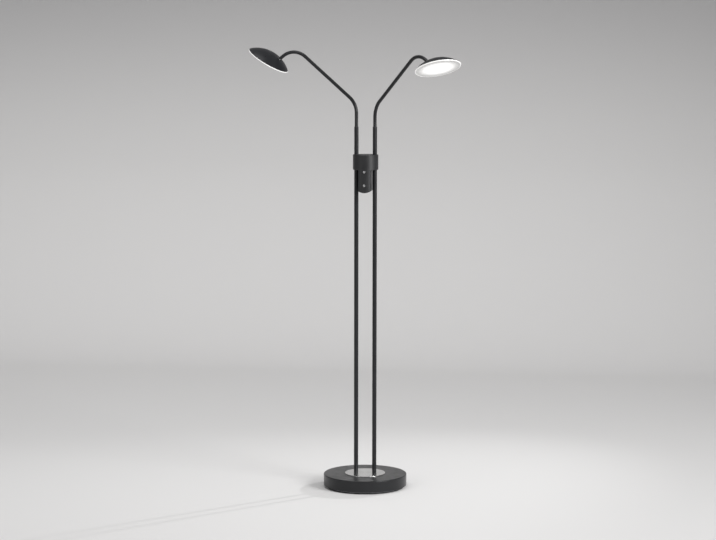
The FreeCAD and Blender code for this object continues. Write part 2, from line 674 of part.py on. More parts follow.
def arm_frame(side):
    """Frame of an arm: origin on the pole's axis at the lower bend, x outwards."""
    place = SIDES[side]
    bend = move(place["pole"] * POLE_X, 0, POLE_TOP_Z + place["arm_rise"])
    return bend.multiply(turn(Z_AXIS, place["arm_azimuth"]))


def neck_frame(side):
    """Frame of a neck: origin at the ball's centre, z along the neck away from the head."""
    ball = arm_path(ARM_TAIL)[1]
    return arm_frame(side).multiply(move(ball.x, 0, ball.z)).multiply(turn(Y_AXIS, DROP_ANGLE - 90))


def ball_frame(side):
    return neck_frame(side).multiply(turn(Z_AXIS, SIDES[side]["head_swivel"]))


def ball_in_head():
    """Where the ball sits in a head that isn't tilted: on the dome's own normal, off centre."""
    lean = radians(NECK_LEAN)
    reach = DOME_R - BALL_DEPTH
    return move(-reach * sin(lean), 0, DOME_CENTRE_Z + reach * cos(lean)).multiply(turn(Y_AXIS, -NECK_LEAN))


def head_frame(side):
    tilted = ball_frame(side).multiply(turn(Y_AXIS, SIDES[side]["head_tilt"]))
    return tilted.multiply(ball_in_head().inverse())


def swept(path, radius):
    start = path.OrderedVertexes[0].Point
    profile = Part.Wire(Part.makeCircle(radius, start, Z_AXIS))
    return path.makePipeShell([profile], True, False)


def arm_tube(side):
    path = arm_path(ARM_TAIL)[0]
    tube = swept(path, ARM_R).cut(swept(path, ARM_R - ARM_WALL))
    bead_z = -ARM_TAIL + SLEEVE_LENGTH + RUNNING_GAP
    bead_r = POLE_BORE_R - FREE_GAP
    bead = spun([(ARM_R - ARM_WALL / 2, bead_z), (bead_r, bead_z), (bead_r, bead_z + ARM_BEAD_HEIGHT / 2),
                 (ARM_R - ARM_WALL / 2, bead_z + ARM_BEAD_HEIGHT)])
    return placed(tube.fuse(bead), arm_frame(side))


def arm_sleeve(side):
    """Split friction sleeve that slides in the pole while the arm turns inside it."""
    top = SLEEVE_LENGTH - ARM_TAIL
    sleeve = ring(POLE_BORE_R - RUNNING_GAP, ARM_R + RUNNING_GAP, -ARM_TAIL, top)
    slit = block(0, POLE_R, -SLEEVE_SLIT / 2, SLEEVE_SLIT / 2, -ARM_TAIL - PAST, top + PAST)
    return placed(sleeve.cut(slit), arm_frame(side))


def arm_end_plug(side):
    bore = SPIGOT_BORE / 2
    end = -ARM_TAIL
    plug = ring(ARM_R - ARM_WALL - PRESS_GAP, bore, end, end + END_PLUG_LENGTH)
    flange = ring(POLE_BORE_R - FREE_GAP, bore, end - END_PLUG_FLANGE, end - RUNNING_GAP)
    neck = ring(ARM_R - ARM_WALL - PRESS_GAP, bore, end - RUNNING_GAP, end)
    return placed(plug.fuse(neck).fuse(flange).removeSplitter(), arm_frame(side))


# Ball joint
def neck_spigot(side):
    """Hollow pin pressed into the end of the arm, with a groove for the clip below the ball."""
    r = SPIGOT_DIAMETER / 2
    top = BALL_TOP_FLAT + RUNNING_GAP
    pin = disc(r, -SPIGOT_TAIL, top).fuse(disc(ARM_R - ARM_WALL - PRESS_GAP, top, top + SPIGOT_PLUG_LENGTH))
    groove_top = -BALL_BOTTOM_FLAT - RUNNING_GAP / 2
    groove = ring(r + PAST, r - CLIP_GROOVE_DEPTH, groove_top - CLIP_THICKNESS - PRESS_GAP, groove_top)
    bore = disc(SPIGOT_BORE / 2, -SPIGOT_TAIL - PAST, top + SPIGOT_PLUG_LENGTH + PAST)
    return placed(pin.removeSplitter().cut(groove).cut(bore), neck_frame(side))


def neck_clip(side):
    r = SPIGOT_DIAMETER / 2 - CLIP_GROOVE_DEPTH + PRESS_GAP
    top = -BALL_BOTTOM_FLAT - RUNNING_GAP / 2
    clip = ring(CLIP_DIAMETER / 2, r, top - CLIP_THICKNESS, top)
    mouth = block(0, CLIP_DIAMETER, -CLIP_MOUTH / 2, CLIP_MOUTH / 2, top - CLIP_THICKNESS - PAST, top + PAST)
    return placed(clip.cut(mouth), neck_frame(side))


def swivel_ball(side):
    """Ball that turns on the neck, with two trunnions that the head tilts on."""
    band = disc(BALL_R + PAST, -BALL_BOTTOM_FLAT, BALL_TOP_FLAT)
    ball = Part.makeSphere(BALL_R).common(band)
    reach = BALL_R + TRUNNION_LENGTH
    ball = ball.fuse(rod_y(TRUNNION_DIAMETER / 2, -reach, reach, 0, 0)).removeSplitter()
    ball = ball.cut(disc(SPIGOT_DIAMETER / 2 + RUNNING_GAP, -BALL_R, BALL_R))
    return placed(ball, ball_frame(side))


def socket_cup():
    """Ring with a dished seat that holds the ball from below, slotted for the trunnions."""
    cup = ring(CUP_R, CUP_BORE_R, -CUP_BOTTOM, CUP_TOP).cut(Part.makeSphere(BALL_R + FREE_GAP))
    slot_r = TRUNNION_DIAMETER / 2 + RUNNING_GAP
    reach = CUP_R + PAST
    cup = cup.cut(rod_y(slot_r, -reach, reach, 0, 0))
    return cup.cut(block(-slot_r, slot_r, -reach, reach, 0, CUP_TOP + PAST))


def socket_strap():
    """Flat bridge screwed to two bosses in the dome, which clamps the cup against the ball."""
    top, bottom = -CUP_BOTTOM, -CUP_BOTTOM - STRAP_THICKNESS
    ear_r = STRAP_EAR_WIDTH / 2
    strap = disc(CUP_R - STRAP_DISC_MARGIN, bottom, top)
    strap = strap.fuse(block(-ear_r, ear_r, -STRAP_SCREW_REACH, STRAP_SCREW_REACH, bottom, top))
    for y in (-STRAP_SCREW_REACH, STRAP_SCREW_REACH):
        strap = strap.fuse(disc(ear_r, bottom, top, 0, y))
    strap = strap.removeSplitter().cut(disc(CUP_BORE_R, bottom - PAST, top + PAST))
    for y in (-STRAP_SCREW_REACH, STRAP_SCREW_REACH):
        strap = strap.cut(disc(STRAP_SCREW_DIAMETER / 2 + SCREW_GAP, bottom - PAST, top + PAST, 0, y))
    return strap


def strap_screws():
    one = screw(STRAP_SCREW_DIAMETER / 2, STRAP_SCREW_HEAD / 2, STRAP_SCREW_HEAD_HEIGHT, STRAP_SCREW_LENGTH)
    bottom = -CUP_BOTTOM - STRAP_THICKNESS
    reach = STRAP_SCREW_REACH
    return Part.makeCompound([placed(one, move(0, y, bottom)) for y in (-reach, reach)])


# Lamp heads
def head_screw_places():
    return on_circle(LED_BOARD_R - HEAD_SCREW_MARGIN, HEAD_SCREW_COUNT, 0)


def dome():
    """Pressed shell: part of a sphere with bosses for the board and for the ball's strap."""
    centre = vec(0, 0, DOME_CENTRE_Z)
    above = disc(HEAD_DIAMETER, 0, HEAD_DIAMETER)
    cap = Part.makeSphere(DOME_R, centre).common(above)
    hollow = Part.makeSphere(DOME_BORE_R, centre)
    fill = Part.makeSphere(DOME_R - DOME_WALL / 2, centre)
    shell = cap.cut(hollow)
    for x, y in head_screw_places():
        shell = shell.fuse(disc(HEAD_BOSS_DIAMETER / 2, SPREADER_TOP, HEAD_R, x, y).common(fill))
    in_head = ball_in_head()
    for y in (-STRAP_SCREW_REACH, STRAP_SCREW_REACH):
        post = placed(disc(STRAP_BOSS_DIAMETER / 2, -CUP_BOTTOM, BALL_R, 0, y), in_head)
        shell = shell.fuse(post.common(fill))
    shell = shell.removeSplitter()
    pilot_end = SPREADER_TOP + HEAD_SCREW_GRIP + PAST
    for x, y in head_screw_places():
        shell = shell.cut(disc(HEAD_SCREW_DIAMETER / 2 + PRESS_GAP, 0, pilot_end, x, y))
    hole_r = STRAP_SCREW_DIAMETER / 2 + PRESS_GAP
    for y in (-STRAP_SCREW_REACH, STRAP_SCREW_REACH):
        hole = disc(hole_r, -CUP_BOTTOM - PAST, -CUP_BOTTOM + STRAP_SCREW_LENGTH, 0, y)
        shell = shell.cut(placed(hole, in_head))
    seat = placed(Part.makeSphere(BALL_R + FREE_GAP), in_head)
    return shell.cut(seat)


def diffuser():
    """Opal disc whose glowing rim carries on the line of the dome's edge."""
    lip_r = sqrt(DOME_BORE_R ** 2 - (DIFFUSER_LIP_HEIGHT - DOME_CENTRE_Z) ** 2) - FREE_GAP
    lip_in = lip_r - DIFFUSER_LIP_WALL
    inner = -DIFFUSER_RIM + DIFFUSER_WALL
    plate = spun([(0, -DIFFUSER_RIM), (HEAD_R, -DIFFUSER_RIM), (HEAD_R, 0), (lip_r, 0),
                  (lip_r, DIFFUSER_LIP_HEIGHT), (lip_in, DIFFUSER_LIP_HEIGHT), (lip_in, inner), (0, inner)])
    return plate.makeFillet(DIFFUSER_EDGE_RADIUS, level_edges(plate, -DIFFUSER_RIM))


def heat_spreader():
    """Plate behind the board, open where the leads come down through the ball."""
    foot = ball_in_head().multVec(vec(0, 0, -CUP_BOTTOM - STRAP_THICKNESS))
    plate = disc(SPREADER_R, SPREADER_Z, SPREADER_TOP)
    plate = plate.cut(disc(CUP_R + FREE_GAP, 0, HEAD_R, foot.x, foot.y))
    for x, y in head_screw_places():
        plate = plate.cut(disc(HEAD_SCREW_DIAMETER / 2 + SCREW_GAP, 0, SPREADER_TOP + PAST, x, y))
    return plate


def led_board():
    board = disc(LED_BOARD_R, SPREADER_Z - LED_BOARD_THICKNESS, SPREADER_Z)
    for x, y in head_screw_places():
        board = board.cut(disc(HEAD_SCREW_DIAMETER / 2 + SCREW_GAP, 0, SPREADER_Z + PAST, x, y))
    return board


def leds():
    """Square chips in rings on the underside of the board."""
    half = LED_SIZE / 2
    top = SPREADER_Z - LED_BOARD_THICKNESS
    chips = []
    radius = LED_BOARD_R - LED_EDGE_MARGIN
    while radius > LED_SIZE:
        count = round(2 * pi * radius / LED_SPACING)
        chip = block(radius - half, radius + half, -half, half, top - LED_HEIGHT, top)
        chips += [placed(chip, turn(Z_AXIS, k * 360.0 / count)) for k in range(count)]
        radius -= LED_RING_PITCH
    return Part.makeCompound(chips)


def board_screws():
    top = SPREADER_Z - LED_BOARD_THICKNESS
    length = LED_BOARD_THICKNESS + SPREADER_THICKNESS + HEAD_SCREW_GRIP
    one = screw(HEAD_SCREW_DIAMETER / 2, HEAD_SCREW_HEAD / 2, HEAD_SCREW_HEAD_HEIGHT, length)
    return Part.makeCompound([placed(one, move(x, y, top)) for x, y in head_screw_places()])


def head_pieces(side):
    """Everything that tilts with a head, drawn in its own frame and set in place."""
    frame = head_frame(side)
    in_head = frame.multiply(ball_in_head())
    own = {"dome": dome, "diffuser": diffuser, "heat_spreader": heat_spreader, "led_board": led_board,
           "leds": leds, "board_screws": board_screws}
    joint = {"socket_cup": socket_cup, "socket_strap": socket_strap, "strap_screws": strap_screws}
    pieces = {side + "_" + name: placed(make(), frame) for name, make in own.items()}
    pieces.update({side + "_" + name: placed(make(), in_head) for name, make in joint.items()})
    return pieces


def all_pieces():
    fixed = (base_cover, base_weight, bottom_plate, bottom_screws, floor_pad, inset_disc, cable_gland,
             gland_nut, foot_studs, foot_washers, foot_nuts, foot_inserts, front_housing, rear_housing,
             housing_cap, housing_screws, pole_bracket, set_screws, circuit_board, switches)
    sided = (pole, pole_bush, arm_tube, arm_sleeve, arm_end_plug, neck_spigot, neck_clip, swivel_ball)
    pieces = {make.__name__: make() for make in fixed}
    for side in SIDES:
        pieces.update({side + "_" + make.__name__: make(side) for make in sided})
        pieces.update(head_pieces(side))
    for name in BUTTON_DROPS:
        pieces[name + "_button"] = button(name)
        pieces[name + "_plunger"] = plunger(name)
    return pieces


os.makedirs("parts", exist_ok=True)
for node, shape in all_pieces().items():
    shape.exportStep("parts/" + node + ".step")
    print(node, "solids", len(shape.Solids), "volume", round(shape.Volume), "valid", shape.isValid())
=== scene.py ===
"""Twin head floor lamp: its visible pieces, finishes and studio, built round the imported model."""
import json
import logging
from dataclasses import dataclass, field, replace
from enum import Enum
from math import asin, atan2, cos, pi, radians, sin, sqrt, tan
from typing import Any, Iterable, Sequence

import bmesh
import bpy
from mathutils import Matrix, Vector


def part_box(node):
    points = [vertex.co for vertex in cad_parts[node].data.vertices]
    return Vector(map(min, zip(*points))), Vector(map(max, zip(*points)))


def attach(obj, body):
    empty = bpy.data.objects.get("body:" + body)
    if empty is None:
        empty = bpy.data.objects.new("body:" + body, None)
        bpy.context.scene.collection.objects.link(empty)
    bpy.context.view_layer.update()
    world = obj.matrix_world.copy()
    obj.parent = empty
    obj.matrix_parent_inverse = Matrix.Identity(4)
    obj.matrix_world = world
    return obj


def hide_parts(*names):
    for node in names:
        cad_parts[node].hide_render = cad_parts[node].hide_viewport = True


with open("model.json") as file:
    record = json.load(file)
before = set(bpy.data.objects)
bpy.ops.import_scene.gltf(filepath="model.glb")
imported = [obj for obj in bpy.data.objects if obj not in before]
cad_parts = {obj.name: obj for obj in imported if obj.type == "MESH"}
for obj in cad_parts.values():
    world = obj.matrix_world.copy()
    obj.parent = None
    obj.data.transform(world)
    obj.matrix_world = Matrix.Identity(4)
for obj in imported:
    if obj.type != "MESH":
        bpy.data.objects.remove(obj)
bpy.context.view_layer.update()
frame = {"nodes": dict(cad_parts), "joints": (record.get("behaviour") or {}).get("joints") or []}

# Shapes are drawn in millimetres and become metres when a piece is finished.
MM = 0.001
# Length of flat run kept beside each rounded corner, so that flat faces shade flat.
GUARD = 0.12
# Points nearer to each other, or to the axis, than this are one.
SAME = 1e-5
# How far a cutting tool goes past the face that it cuts through.
PAST = 3.0
# An edge that turns by more degrees than this stays sharp.
CREASE = 34.0
# Facets round a plain hole or rod, and round one whose edge shows.
PLAIN = 48
FINE = 64
# The one socket head screw of the lamp, in millimetres, by the inputs of its tree.
SCREW = {"Head Diameter": 5.4, "Head Height": 2.2, "Edge": 0.4, "Socket": 2.7, "Shank Diameter": 3.0}
DUST_COLOUR = (0.42, 0.41, 0.39, 1.0)
DUST_DULLING = 0.4
ROOT = "root"
Triple = tuple[float, float, float]
Socket = bpy.types.NodeSocket
Inputs = dict[int | str, Any]
log = logging.getLogger("floor_lamp")


class Named(Enum):
    """A choice whose word begins the frame's names of its nodes, bodies and joints."""

    def node(self, name: str) -> str:
        """One of those names."""
        return f"{self.value}_{name}"


class Side(Named):
    """The two arms of the lamp."""

    LEFT = "left"
    RIGHT = "right"


class Button(Named):
    """The two push buttons of the control unit."""

    UPPER = "upper"
    LOWER = "lower"


class Slot(Enum):
    """The record's material slots."""

    PAINT = "anthracite_paint"
    DOME = "dome_paint"
    BALL = "ball_paint"
    MOULDING = "anthracite_plastic"
    NICKEL = "satin_nickel"
    SILVER = "silver_button"
    CASTING = "cast_metal"
    ZINC = "zinc_steel"
    BLACK_STEEL = "black_steel"
    FOAM = "pad_foam"
    BLACK = "black_plastic"
    WHITE = "white_plastic"
    GREEN_BOARD = "board_green"
    WHITE_BOARD = "board_white"
    LED = "led_yellow"
    ALUMINIUM = "spreader_aluminium"
    OPAL = "opal_diffuser"


def joint(name: str) -> dict[str, Any]:
    """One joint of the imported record, with its place, axis and range."""
    return next(entry for entry in frame["joints"] if entry["name"] == name)


def middle(node: str) -> Vector:
    """The middle of a node's box, in millimetres."""
    low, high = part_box(node)
    return (low + high) / (2 * MM)


def shift(x: float = 0.0, y: float = 0.0, z: float = 0.0) -> Matrix:
    """A move in millimetres."""
    return Matrix.Translation((x, y, z))


def spin(angle: float, axis: str) -> Matrix:
    """A turn about X, Y or Z, in degrees."""
    return Matrix.Rotation(radians(angle), 4, axis)


def put(name: str, data: bpy.types.ID) -> bpy.types.Object:
    """A new object in the scene."""
    thing = bpy.data.objects.new(name, data)
    bpy.context.scene.collection.objects.link(thing)
    return thing


def baked(blank: bpy.types.Object) -> bpy.types.Mesh:
    """The mesh that an object's modifiers make, as plain data, with the object put away."""
    depsgraph = bpy.context.evaluated_depsgraph_get()
    mesh = bpy.data.meshes.new_from_object(blank.evaluated_get(depsgraph))
    bpy.data.objects.remove(blank)
    return mesh


# Shapes

def rounded(corners: Sequence[Triple], steps: int) -> list[Vector]:
    """Soften the corners of a closed outline.

    Args:
        corners: Points as (across, up, corner radius); a radius of 0 keeps the point.
        steps: Straight runs in each corner's arc.

    Returns:
        The points of the softened outline.
    """
    points: list[Vector] = []
    for k, (across, up, radius) in enumerate(corners):
        here = Vector((across, up))
        if not radius:
            points.append(here)
            continue
        before = (Vector(corners[k - 1][:2]) - here).normalized()
        after = (Vector(corners[(k + 1) % len(corners)][:2]) - here).normalized()
        half = before.angle(after) / 2
        reach = radius / tan(half)
        centre = here + (before + after).normalized() * radius / sin(half)
        start, end = here + before * reach - centre, here + after * reach - centre
        sweep = start.angle(end)
        points.append(here + before * (reach + GUARD))
        for step in range(steps + 1):
            part = sweep * step / steps
            points.append(centre + (start * sin(sweep - part) + end * sin(part)) / sin(sweep))
        points.append(here + after * (reach + GUARD))
    return points


def arc(radius: float, centre: float, start: float, end: float, steps: int) -> list[Triple]:
    """Points of an arc about a centre on the axis.

    Args:
        radius: Radius of the arc.
        centre: Height of its centre.
        start: First angle from the axis, in radians.
        end: Last angle from the axis, in radians.
        steps: Number of straight runs.

    Returns:
        Sharp corners for an outline.
    """
    angles = [start + (end - start) * k / steps for k in range(steps + 1)]
    return [(abs(radius * sin(a)), centre + radius * cos(a), 0.0) for a in angles]


class Form:
    """A closed mesh in millimetres that is turned, cut and joined before it becomes a piece."""

    def __init__(self, mesh: bpy.types.Mesh) -> None:
        """Keep the mesh."""
        self.mesh = mesh

    @classmethod
    def from_sketch(cls, sketch: bmesh.types.BMesh) -> "Form":
        """Keep a finished sketch."""
        mesh = bpy.data.meshes.new("form")
        sketch.to_mesh(mesh)
        sketch.free()
        return cls(mesh)

    @classmethod
    def turned(cls, corners: Sequence[Triple], sides: int = 96, steps: int = 5) -> "Form":
        """Turn a closed outline about the Z axis.

        Args:
            corners: Outline as (radius, height, corner radius).
            sides: Number of facets round the axis.
            steps: Straight runs in each rounded corner.

        Returns:
            The turned form, closed at the axis, with its faces outwards.
        """
        sketch = bmesh.new()
        turns = [2 * pi * k / sides for k in range(sides)]
        rings = [[sketch.verts.new((point.x * cos(turn), point.x * sin(turn), point.y))
                  for turn in (turns if point.x > SAME else turns[:1])] for point in rounded(corners, steps)]
        for first, second in zip(rings, rings[1:] + rings[:1]):
            if len(first) == len(second) == 1:
                continue
            for k in range(sides):
                after = (k + 1) % sides
                face = (first[k % len(first)], second[k % len(second)],
                        second[after % len(second)], first[after % len(first)])
                sketch.faces.new(list(dict.fromkeys(face)))
        bmesh.ops.remove_doubles(sketch, verts=sketch.verts, dist=SAME)
        if sketch.calc_volume(signed=True) < 0:
            bmesh.ops.reverse_faces(sketch, faces=sketch.faces)
        return cls.from_sketch(sketch)

    @classmethod
    def rod(cls, radius: float, low: float, high: float, sides: int = PLAIN) -> "Form":
        """A plain cylinder about the Z axis."""
        return cls.turned([(0, low, 0), (radius, low, 0), (radius, high, 0), (0, high, 0)], sides)

    @classmethod
    def drill(cls, radius: float, low: float, face: float, bevel: float, proud: float) -> "Form":
        """A round cutting tool that flares by 45 degrees where it leaves a face.

        Args:
            radius: Radius of the hole.
            low: Where the tool begins, along Z.
            face: Where the face is.
            bevel: How far under the face the flare begins.
            proud: How far past the face it ends.

        Returns:
            The tool.
        """
        wide, high = radius + bevel + proud, face + PAST
        return cls.turned([(0, low, 0), (radius, low, 0), (radius, face - bevel, 0), (wide, face + proud, 0),
                           (wide, high, 0), (0, high, 0)], FINE)

    def placed(self, place: Matrix) -> "Form":
        """A copy of the form, moved by a matrix in millimetres."""
        mesh = self.mesh.copy()
        mesh.transform(place)
        return Form(mesh)

    def joined(self, *others: "Form") -> "Form":
        """Put forms that don't touch into one."""
        sketch = bmesh.new()
        for form in (self, *others):
            sketch.from_mesh(form.mesh)
        return Form.from_sketch(sketch)

    def worked(self, *steps: tuple[str, dict[str, Any]]) -> "Form":
        """Run mesh modifiers on the form and keep their result.

        Args:
            steps: Each modifier's kind and its settings.

        Returns:
            The worked form.
        """
        blank = put("blank", self.mesh)
        for kind, settings in steps:
            modifier = blank.modifiers.new(kind.lower(), kind)
            for name, value in settings.items():
                setattr(modifier, name, value)
        return Form(baked(blank))

    def combined(self, operation: str, *tools: "Form") -> "Form":
        """Join, cut or intersect the form with each tool in turn."""
        form = self
        for tool in tools:
            other = put("tool", tool.mesh)
            form = form.worked(("BOOLEAN", {"operation": operation, "solver": "EXACT", "object": other}))
            bpy.data.objects.remove(other)
        return form

    def cut(self, *tools: "Form") -> "Form":
        """The form without the tools."""
        return self.combined("DIFFERENCE", *tools)


# Trees of nodes

class NodeTree:
    """Adds and links the nodes of one tree."""

    def __init__(self, tree: bpy.types.NodeTree) -> None:
        """Keep the tree."""
        self.tree = tree

    def add(self, kind: str, inputs: Inputs | None = None, **settings: Any) -> bpy.types.Node:
        """Add one node.

        Args:
            kind: Type of the node.
            inputs: Values, or sockets to link from, by the input's place, name or identifier.
            settings: Properties of the node.

        Returns:
            The node.
        """
        node = self.tree.nodes.new(kind)
        for name, value in settings.items():
            setattr(node, name, value)
        sockets = dict(enumerate(node.inputs))
        sockets.update({socket.name: socket for socket in node.inputs})
        sockets.update({socket.identifier: socket for socket in node.inputs})
        for key, value in (inputs or {}).items():
            for source in value if isinstance(value, list) else [value]:
                if isinstance(source, Socket):
                    self.tree.links.new(source, sockets[key])
                else:
                    sockets[key].default_value = source
        return node

    def made(self, kind: str, inputs: Inputs | None = None, **settings: Any) -> Socket:
        """Add one node and give its first output."""
        return self.add(kind, inputs, **settings).outputs[0]

    def math(self, operation: str, *values: Any) -> Socket:
        """One sum of values or sockets."""
        return self.made("ShaderNodeMath", dict(enumerate(values)), operation=operation)

    def ask(self, inputs: dict[str, str]) -> dict[str, str]:
        """Give the tree's interface its inputs.

        Args:
            inputs: Each input's name and the kind of its value.

        Returns:
            The identifier of each input.
        """
        new = self.tree.interface.new_socket
        return {label: new(label, in_out="INPUT", socket_type=f"NodeSocket{kind}").identifier
                for label, kind in inputs.items()}


class GeometryTree(NodeTree):
    """A geometry tree with named inputs, which ends in real geometry with its material."""

    def __init__(self, name: str, inputs: dict[str, str]) -> None:
        """Make the tree.

        Args:
            name: Name of the tree.
            inputs: Each input's name and the kind of its value.
        """
        super().__init__(bpy.data.node_groups.new(name, "GeometryNodeTree"))
        self.keys = self.ask({"Geometry": "Geometry", **inputs, "Material": "Material"})
        self.tree.interface.new_socket("Geometry", in_out="OUTPUT", socket_type="NodeSocketGeometry")
        self.given = self.add("NodeGroupInput").outputs

    def close(self, made: Socket) -> None:
        """End the tree: real geometry with its material."""
        real = self.made("GeometryNodeRealizeInstances", {"Geometry": made})
        dressed = self.made("GeometryNodeSetMaterial", {"Geometry": real, "Material": self.given["Material"]})
        self.add("NodeGroupOutput", {0: dressed})

    def run(self, source: bpy.types.Mesh, values: dict[str, Any]) -> Form:
        """Run the tree on a mesh.

        Args:
            source: Points or a path.
            values: The inputs by name.

        Returns:
            The form that it makes.
        """
        blank = put("blank", source)
        modifier = blank.modifiers.new("tree", "NODES")
        modifier.node_group = self.tree
        for label, value in values.items():
            modifier[self.keys[label]] = value
        return Form(baked(blank))


class TubeTree(GeometryTree):
    """Sweeps a hollow tube along a path; the path's swell attribute widens it."""

    SWELL = "swell"
    WELD = 1e-4

    def __init__(self) -> None:
        """Build the tree."""
        super().__init__("bent_tube", {"Outer Diameter": "Float", "Wall": "Float", "Sides": "Int"})
        line = self.made("GeometryNodeMeshToCurve", {"Mesh": self.given["Geometry"]})
        radius = self.math("MULTIPLY", self.given["Outer Diameter"], 0.5)
        section = self.made("GeometryNodeCurvePrimitiveCircle",
                            {"Resolution": self.given["Sides"], "Radius": radius})
        swell = self.made("GeometryNodeInputNamedAttribute", {"Name": self.SWELL}, data_type="FLOAT")
        outside = self.made("GeometryNodeCurveToMesh",
                            {"Curve": line, "Profile Curve": section, "Scale": swell})
        inwards = self.math("MULTIPLY", self.given["Wall"], -1.0)
        inside = self.made("GeometryNodeExtrudeMesh",
                           {"Mesh": outside, "Offset Scale": inwards, "Individual": False})
        facing = self.made("GeometryNodeFlipFaces", {"Mesh": inside})
        both = self.made("GeometryNodeJoinGeometry", {"Geometry": [outside, facing]})
        self.close(self.made("GeometryNodeMergeByDistance", {"Geometry": both, "Distance": self.WELD}))

    def along(self, path: Sequence[tuple[Vector, float]], diameter: float, wall: float, sides: int,
              material: bpy.types.Material) -> Form:
        """Sweep one tube.

        Args:
            path: Points with how much wider the tube is there, 1 for its own width.
            diameter: Outer diameter.
            wall: Thickness of the wall.
            sides: Facets round the tube.
            material: Its finish.

        Returns:
            The tube, open at both ends.
        """
        line = bpy.data.meshes.new("path")
        line.from_pydata([point for point, _ in path], [(k, k + 1) for k in range(len(path) - 1)], [])
        swell = line.attributes.new(self.SWELL, "FLOAT", "POINT")
        swell.data.foreach_set("value", [wide for _, wide in path])
        return self.run(line, {"Outer Diameter": diameter, "Wall": wall, "Sides": sides,
                               "Material": material})


class ScrewTree(GeometryTree):
    """Sets the same socket head screw at each point, its shank along one direction."""

    # Length of the socket's tool, and where it begins from the head's seat, in heights of the head.
    SOCKET_LENGTH = 1.2
    SOCKET_START = -1.6

    def __init__(self) -> None:
        """Build the tree."""
        super().__init__("screw_row", {**dict.fromkeys([*SCREW, "Length"], "Float"), "Direction": "Vector"})
        given = self.given
        head_r, shank_r, socket_r = (self.math("MULTIPLY", given[label], 0.5)
                                     for label in ("Head Diameter", "Shank Diameter", "Socket"))
        face_r = self.math("SUBTRACT", head_r, given["Edge"])
        straight = self.math("SUBTRACT", given["Head Height"], given["Edge"])
        head = self.bar(head_r, head_r, straight, self.math("MULTIPLY", straight, -1.0))
        edge = self.bar(face_r, head_r, given["Edge"], self.math("MULTIPLY", given["Head Height"], -1.0))
        shank = self.bar(shank_r, shank_r, given["Length"], 0.0)
        solid = self.made("GeometryNodeMeshBoolean", {"Mesh 2": [head, edge, shank]},
                          operation="UNION", solver="EXACT")
        length, start = (self.math("MULTIPLY", given["Head Height"], share)
                         for share in (self.SOCKET_LENGTH, self.SOCKET_START))
        socket = self.bar(socket_r, socket_r, length, start, 6)
        screw = self.made("GeometryNodeMeshBoolean", {"Mesh 1": solid, "Mesh 2": socket},
                          operation="DIFFERENCE", solver="EXACT")
        aim = self.made("FunctionNodeAlignRotationToVector", {"Vector": given["Direction"]}, axis="Z")
        self.close(self.made("GeometryNodeInstanceOnPoints",
                             {"Points": given["Geometry"], "Instance": screw, "Rotation": aim}))

    def bar(self, low_r: Any, high_r: Any, length: Any, low: Any, sides: int = 32) -> Socket:
        """A round or six-sided bar along Z, straight or tapered.

        Args:
            low_r: Radius at its lower end.
            high_r: Radius at its upper end.
            length: Length of the bar.
            low: Height of its lower end.
            sides: Number of its sides.

        Returns:
            The socket with its mesh.
        """
        cone = self.made("GeometryNodeMeshCone", {"Vertices": sides, "Radius Bottom": low_r,
                                                  "Radius Top": high_r, "Depth": length})
        lift = self.made("ShaderNodeCombineXYZ", {"Z": low})
        return self.made("GeometryNodeTransform", {"Geometry": cone, "Translation": lift})

    def row(self, seats: Iterable[Vector], direction: Vector, length: float,
            material: bpy.types.Material) -> Form:
        """Set the screws.

        Args:
            seats: Where each head's underside is.
            direction: The way that the shanks point.
            length: Length of the shank.
            material: Its finish.

        Returns:
            All the screws as one form.
        """
        spots = bpy.data.meshes.new("spots")
        spots.from_pydata(list(seats), [], [])
        return self.run(spots, {**SCREW, "Length": length, "Direction": tuple(direction),
                                "Material": material})


class ShaderTree(NodeTree):
    """The nodes of a material or of a shader group."""

    def noise(self, vector: Any, scale: Any, detail: float = 2.0, roughness: float = 0.5) -> Socket:
        """The value of a noise texture."""
        return self.made("ShaderNodeTexNoise", {"Vector": vector, "Scale": scale, "Detail": detail,
                                                "Roughness": roughness})

    def spread(self, value: Any, low: float, high: float, to_low: float = 0.0, to_high: float = 1.0,
               curve: str = "LINEAR") -> Socket:
        """A value mapped from one range to another, and kept in it."""
        return self.made("ShaderNodeMapRange", {0: value, 1: low, 2: high, 3: to_low, 4: to_high},
                         interpolation_type=curve)

    def mixed(self, share: Any, first: Any, second: Any) -> Socket:
        """A mix of two colours."""
        return self.add("ShaderNodeMix", {0: share, 6: first, 7: second}, data_type="RGBA").outputs[2]

    def from_axis(self, vector: Any) -> Socket:
        """How far a place is from the Z axis."""
        flat = self.made("ShaderNodeVectorMath", {0: vector, 1: (1, 1, 0)}, operation="MULTIPLY")
        return self.add("ShaderNodeVectorMath", {0: flat}, operation="LENGTH").outputs["Value"]


class EffectGroup(ShaderTree):
    """A shader group that several finishes share."""

    def __init__(self, name: str, numbers: Sequence[str], outputs: Sequence[str]) -> None:
        """Make the group with its sockets.

        Args:
            name: Name of the group.
            numbers: Names of the values that it takes, beside its vector.
            outputs: Names of the values that it gives.
        """
        super().__init__(bpy.data.node_groups.new(name, "ShaderNodeTree"))
        self.ask({"Vector": "Vector", **dict.fromkeys(numbers, "Float")})
        for label in outputs:
            self.tree.interface.new_socket(label, in_out="OUTPUT", socket_type="NodeSocketFloat")
        self.given = self.add("NodeGroupInput").outputs
        self.gives = self.add("NodeGroupOutput").inputs

    def give(self, label: str, value: Socket) -> None:
        """Link a value to one of the outputs."""
        self.tree.links.new(value, self.gives[label])

    def use(self, tree: ShaderTree, inputs: dict[str, Any]) -> bpy.types.NodeOutputs:
        """Place the group in a material.

        Args:
            tree: The material's tree.
            inputs: The group's own values there.

        Returns:
            Its outputs.
        """
        return tree.add("ShaderNodeGroup", inputs, node_tree=self.tree).outputs


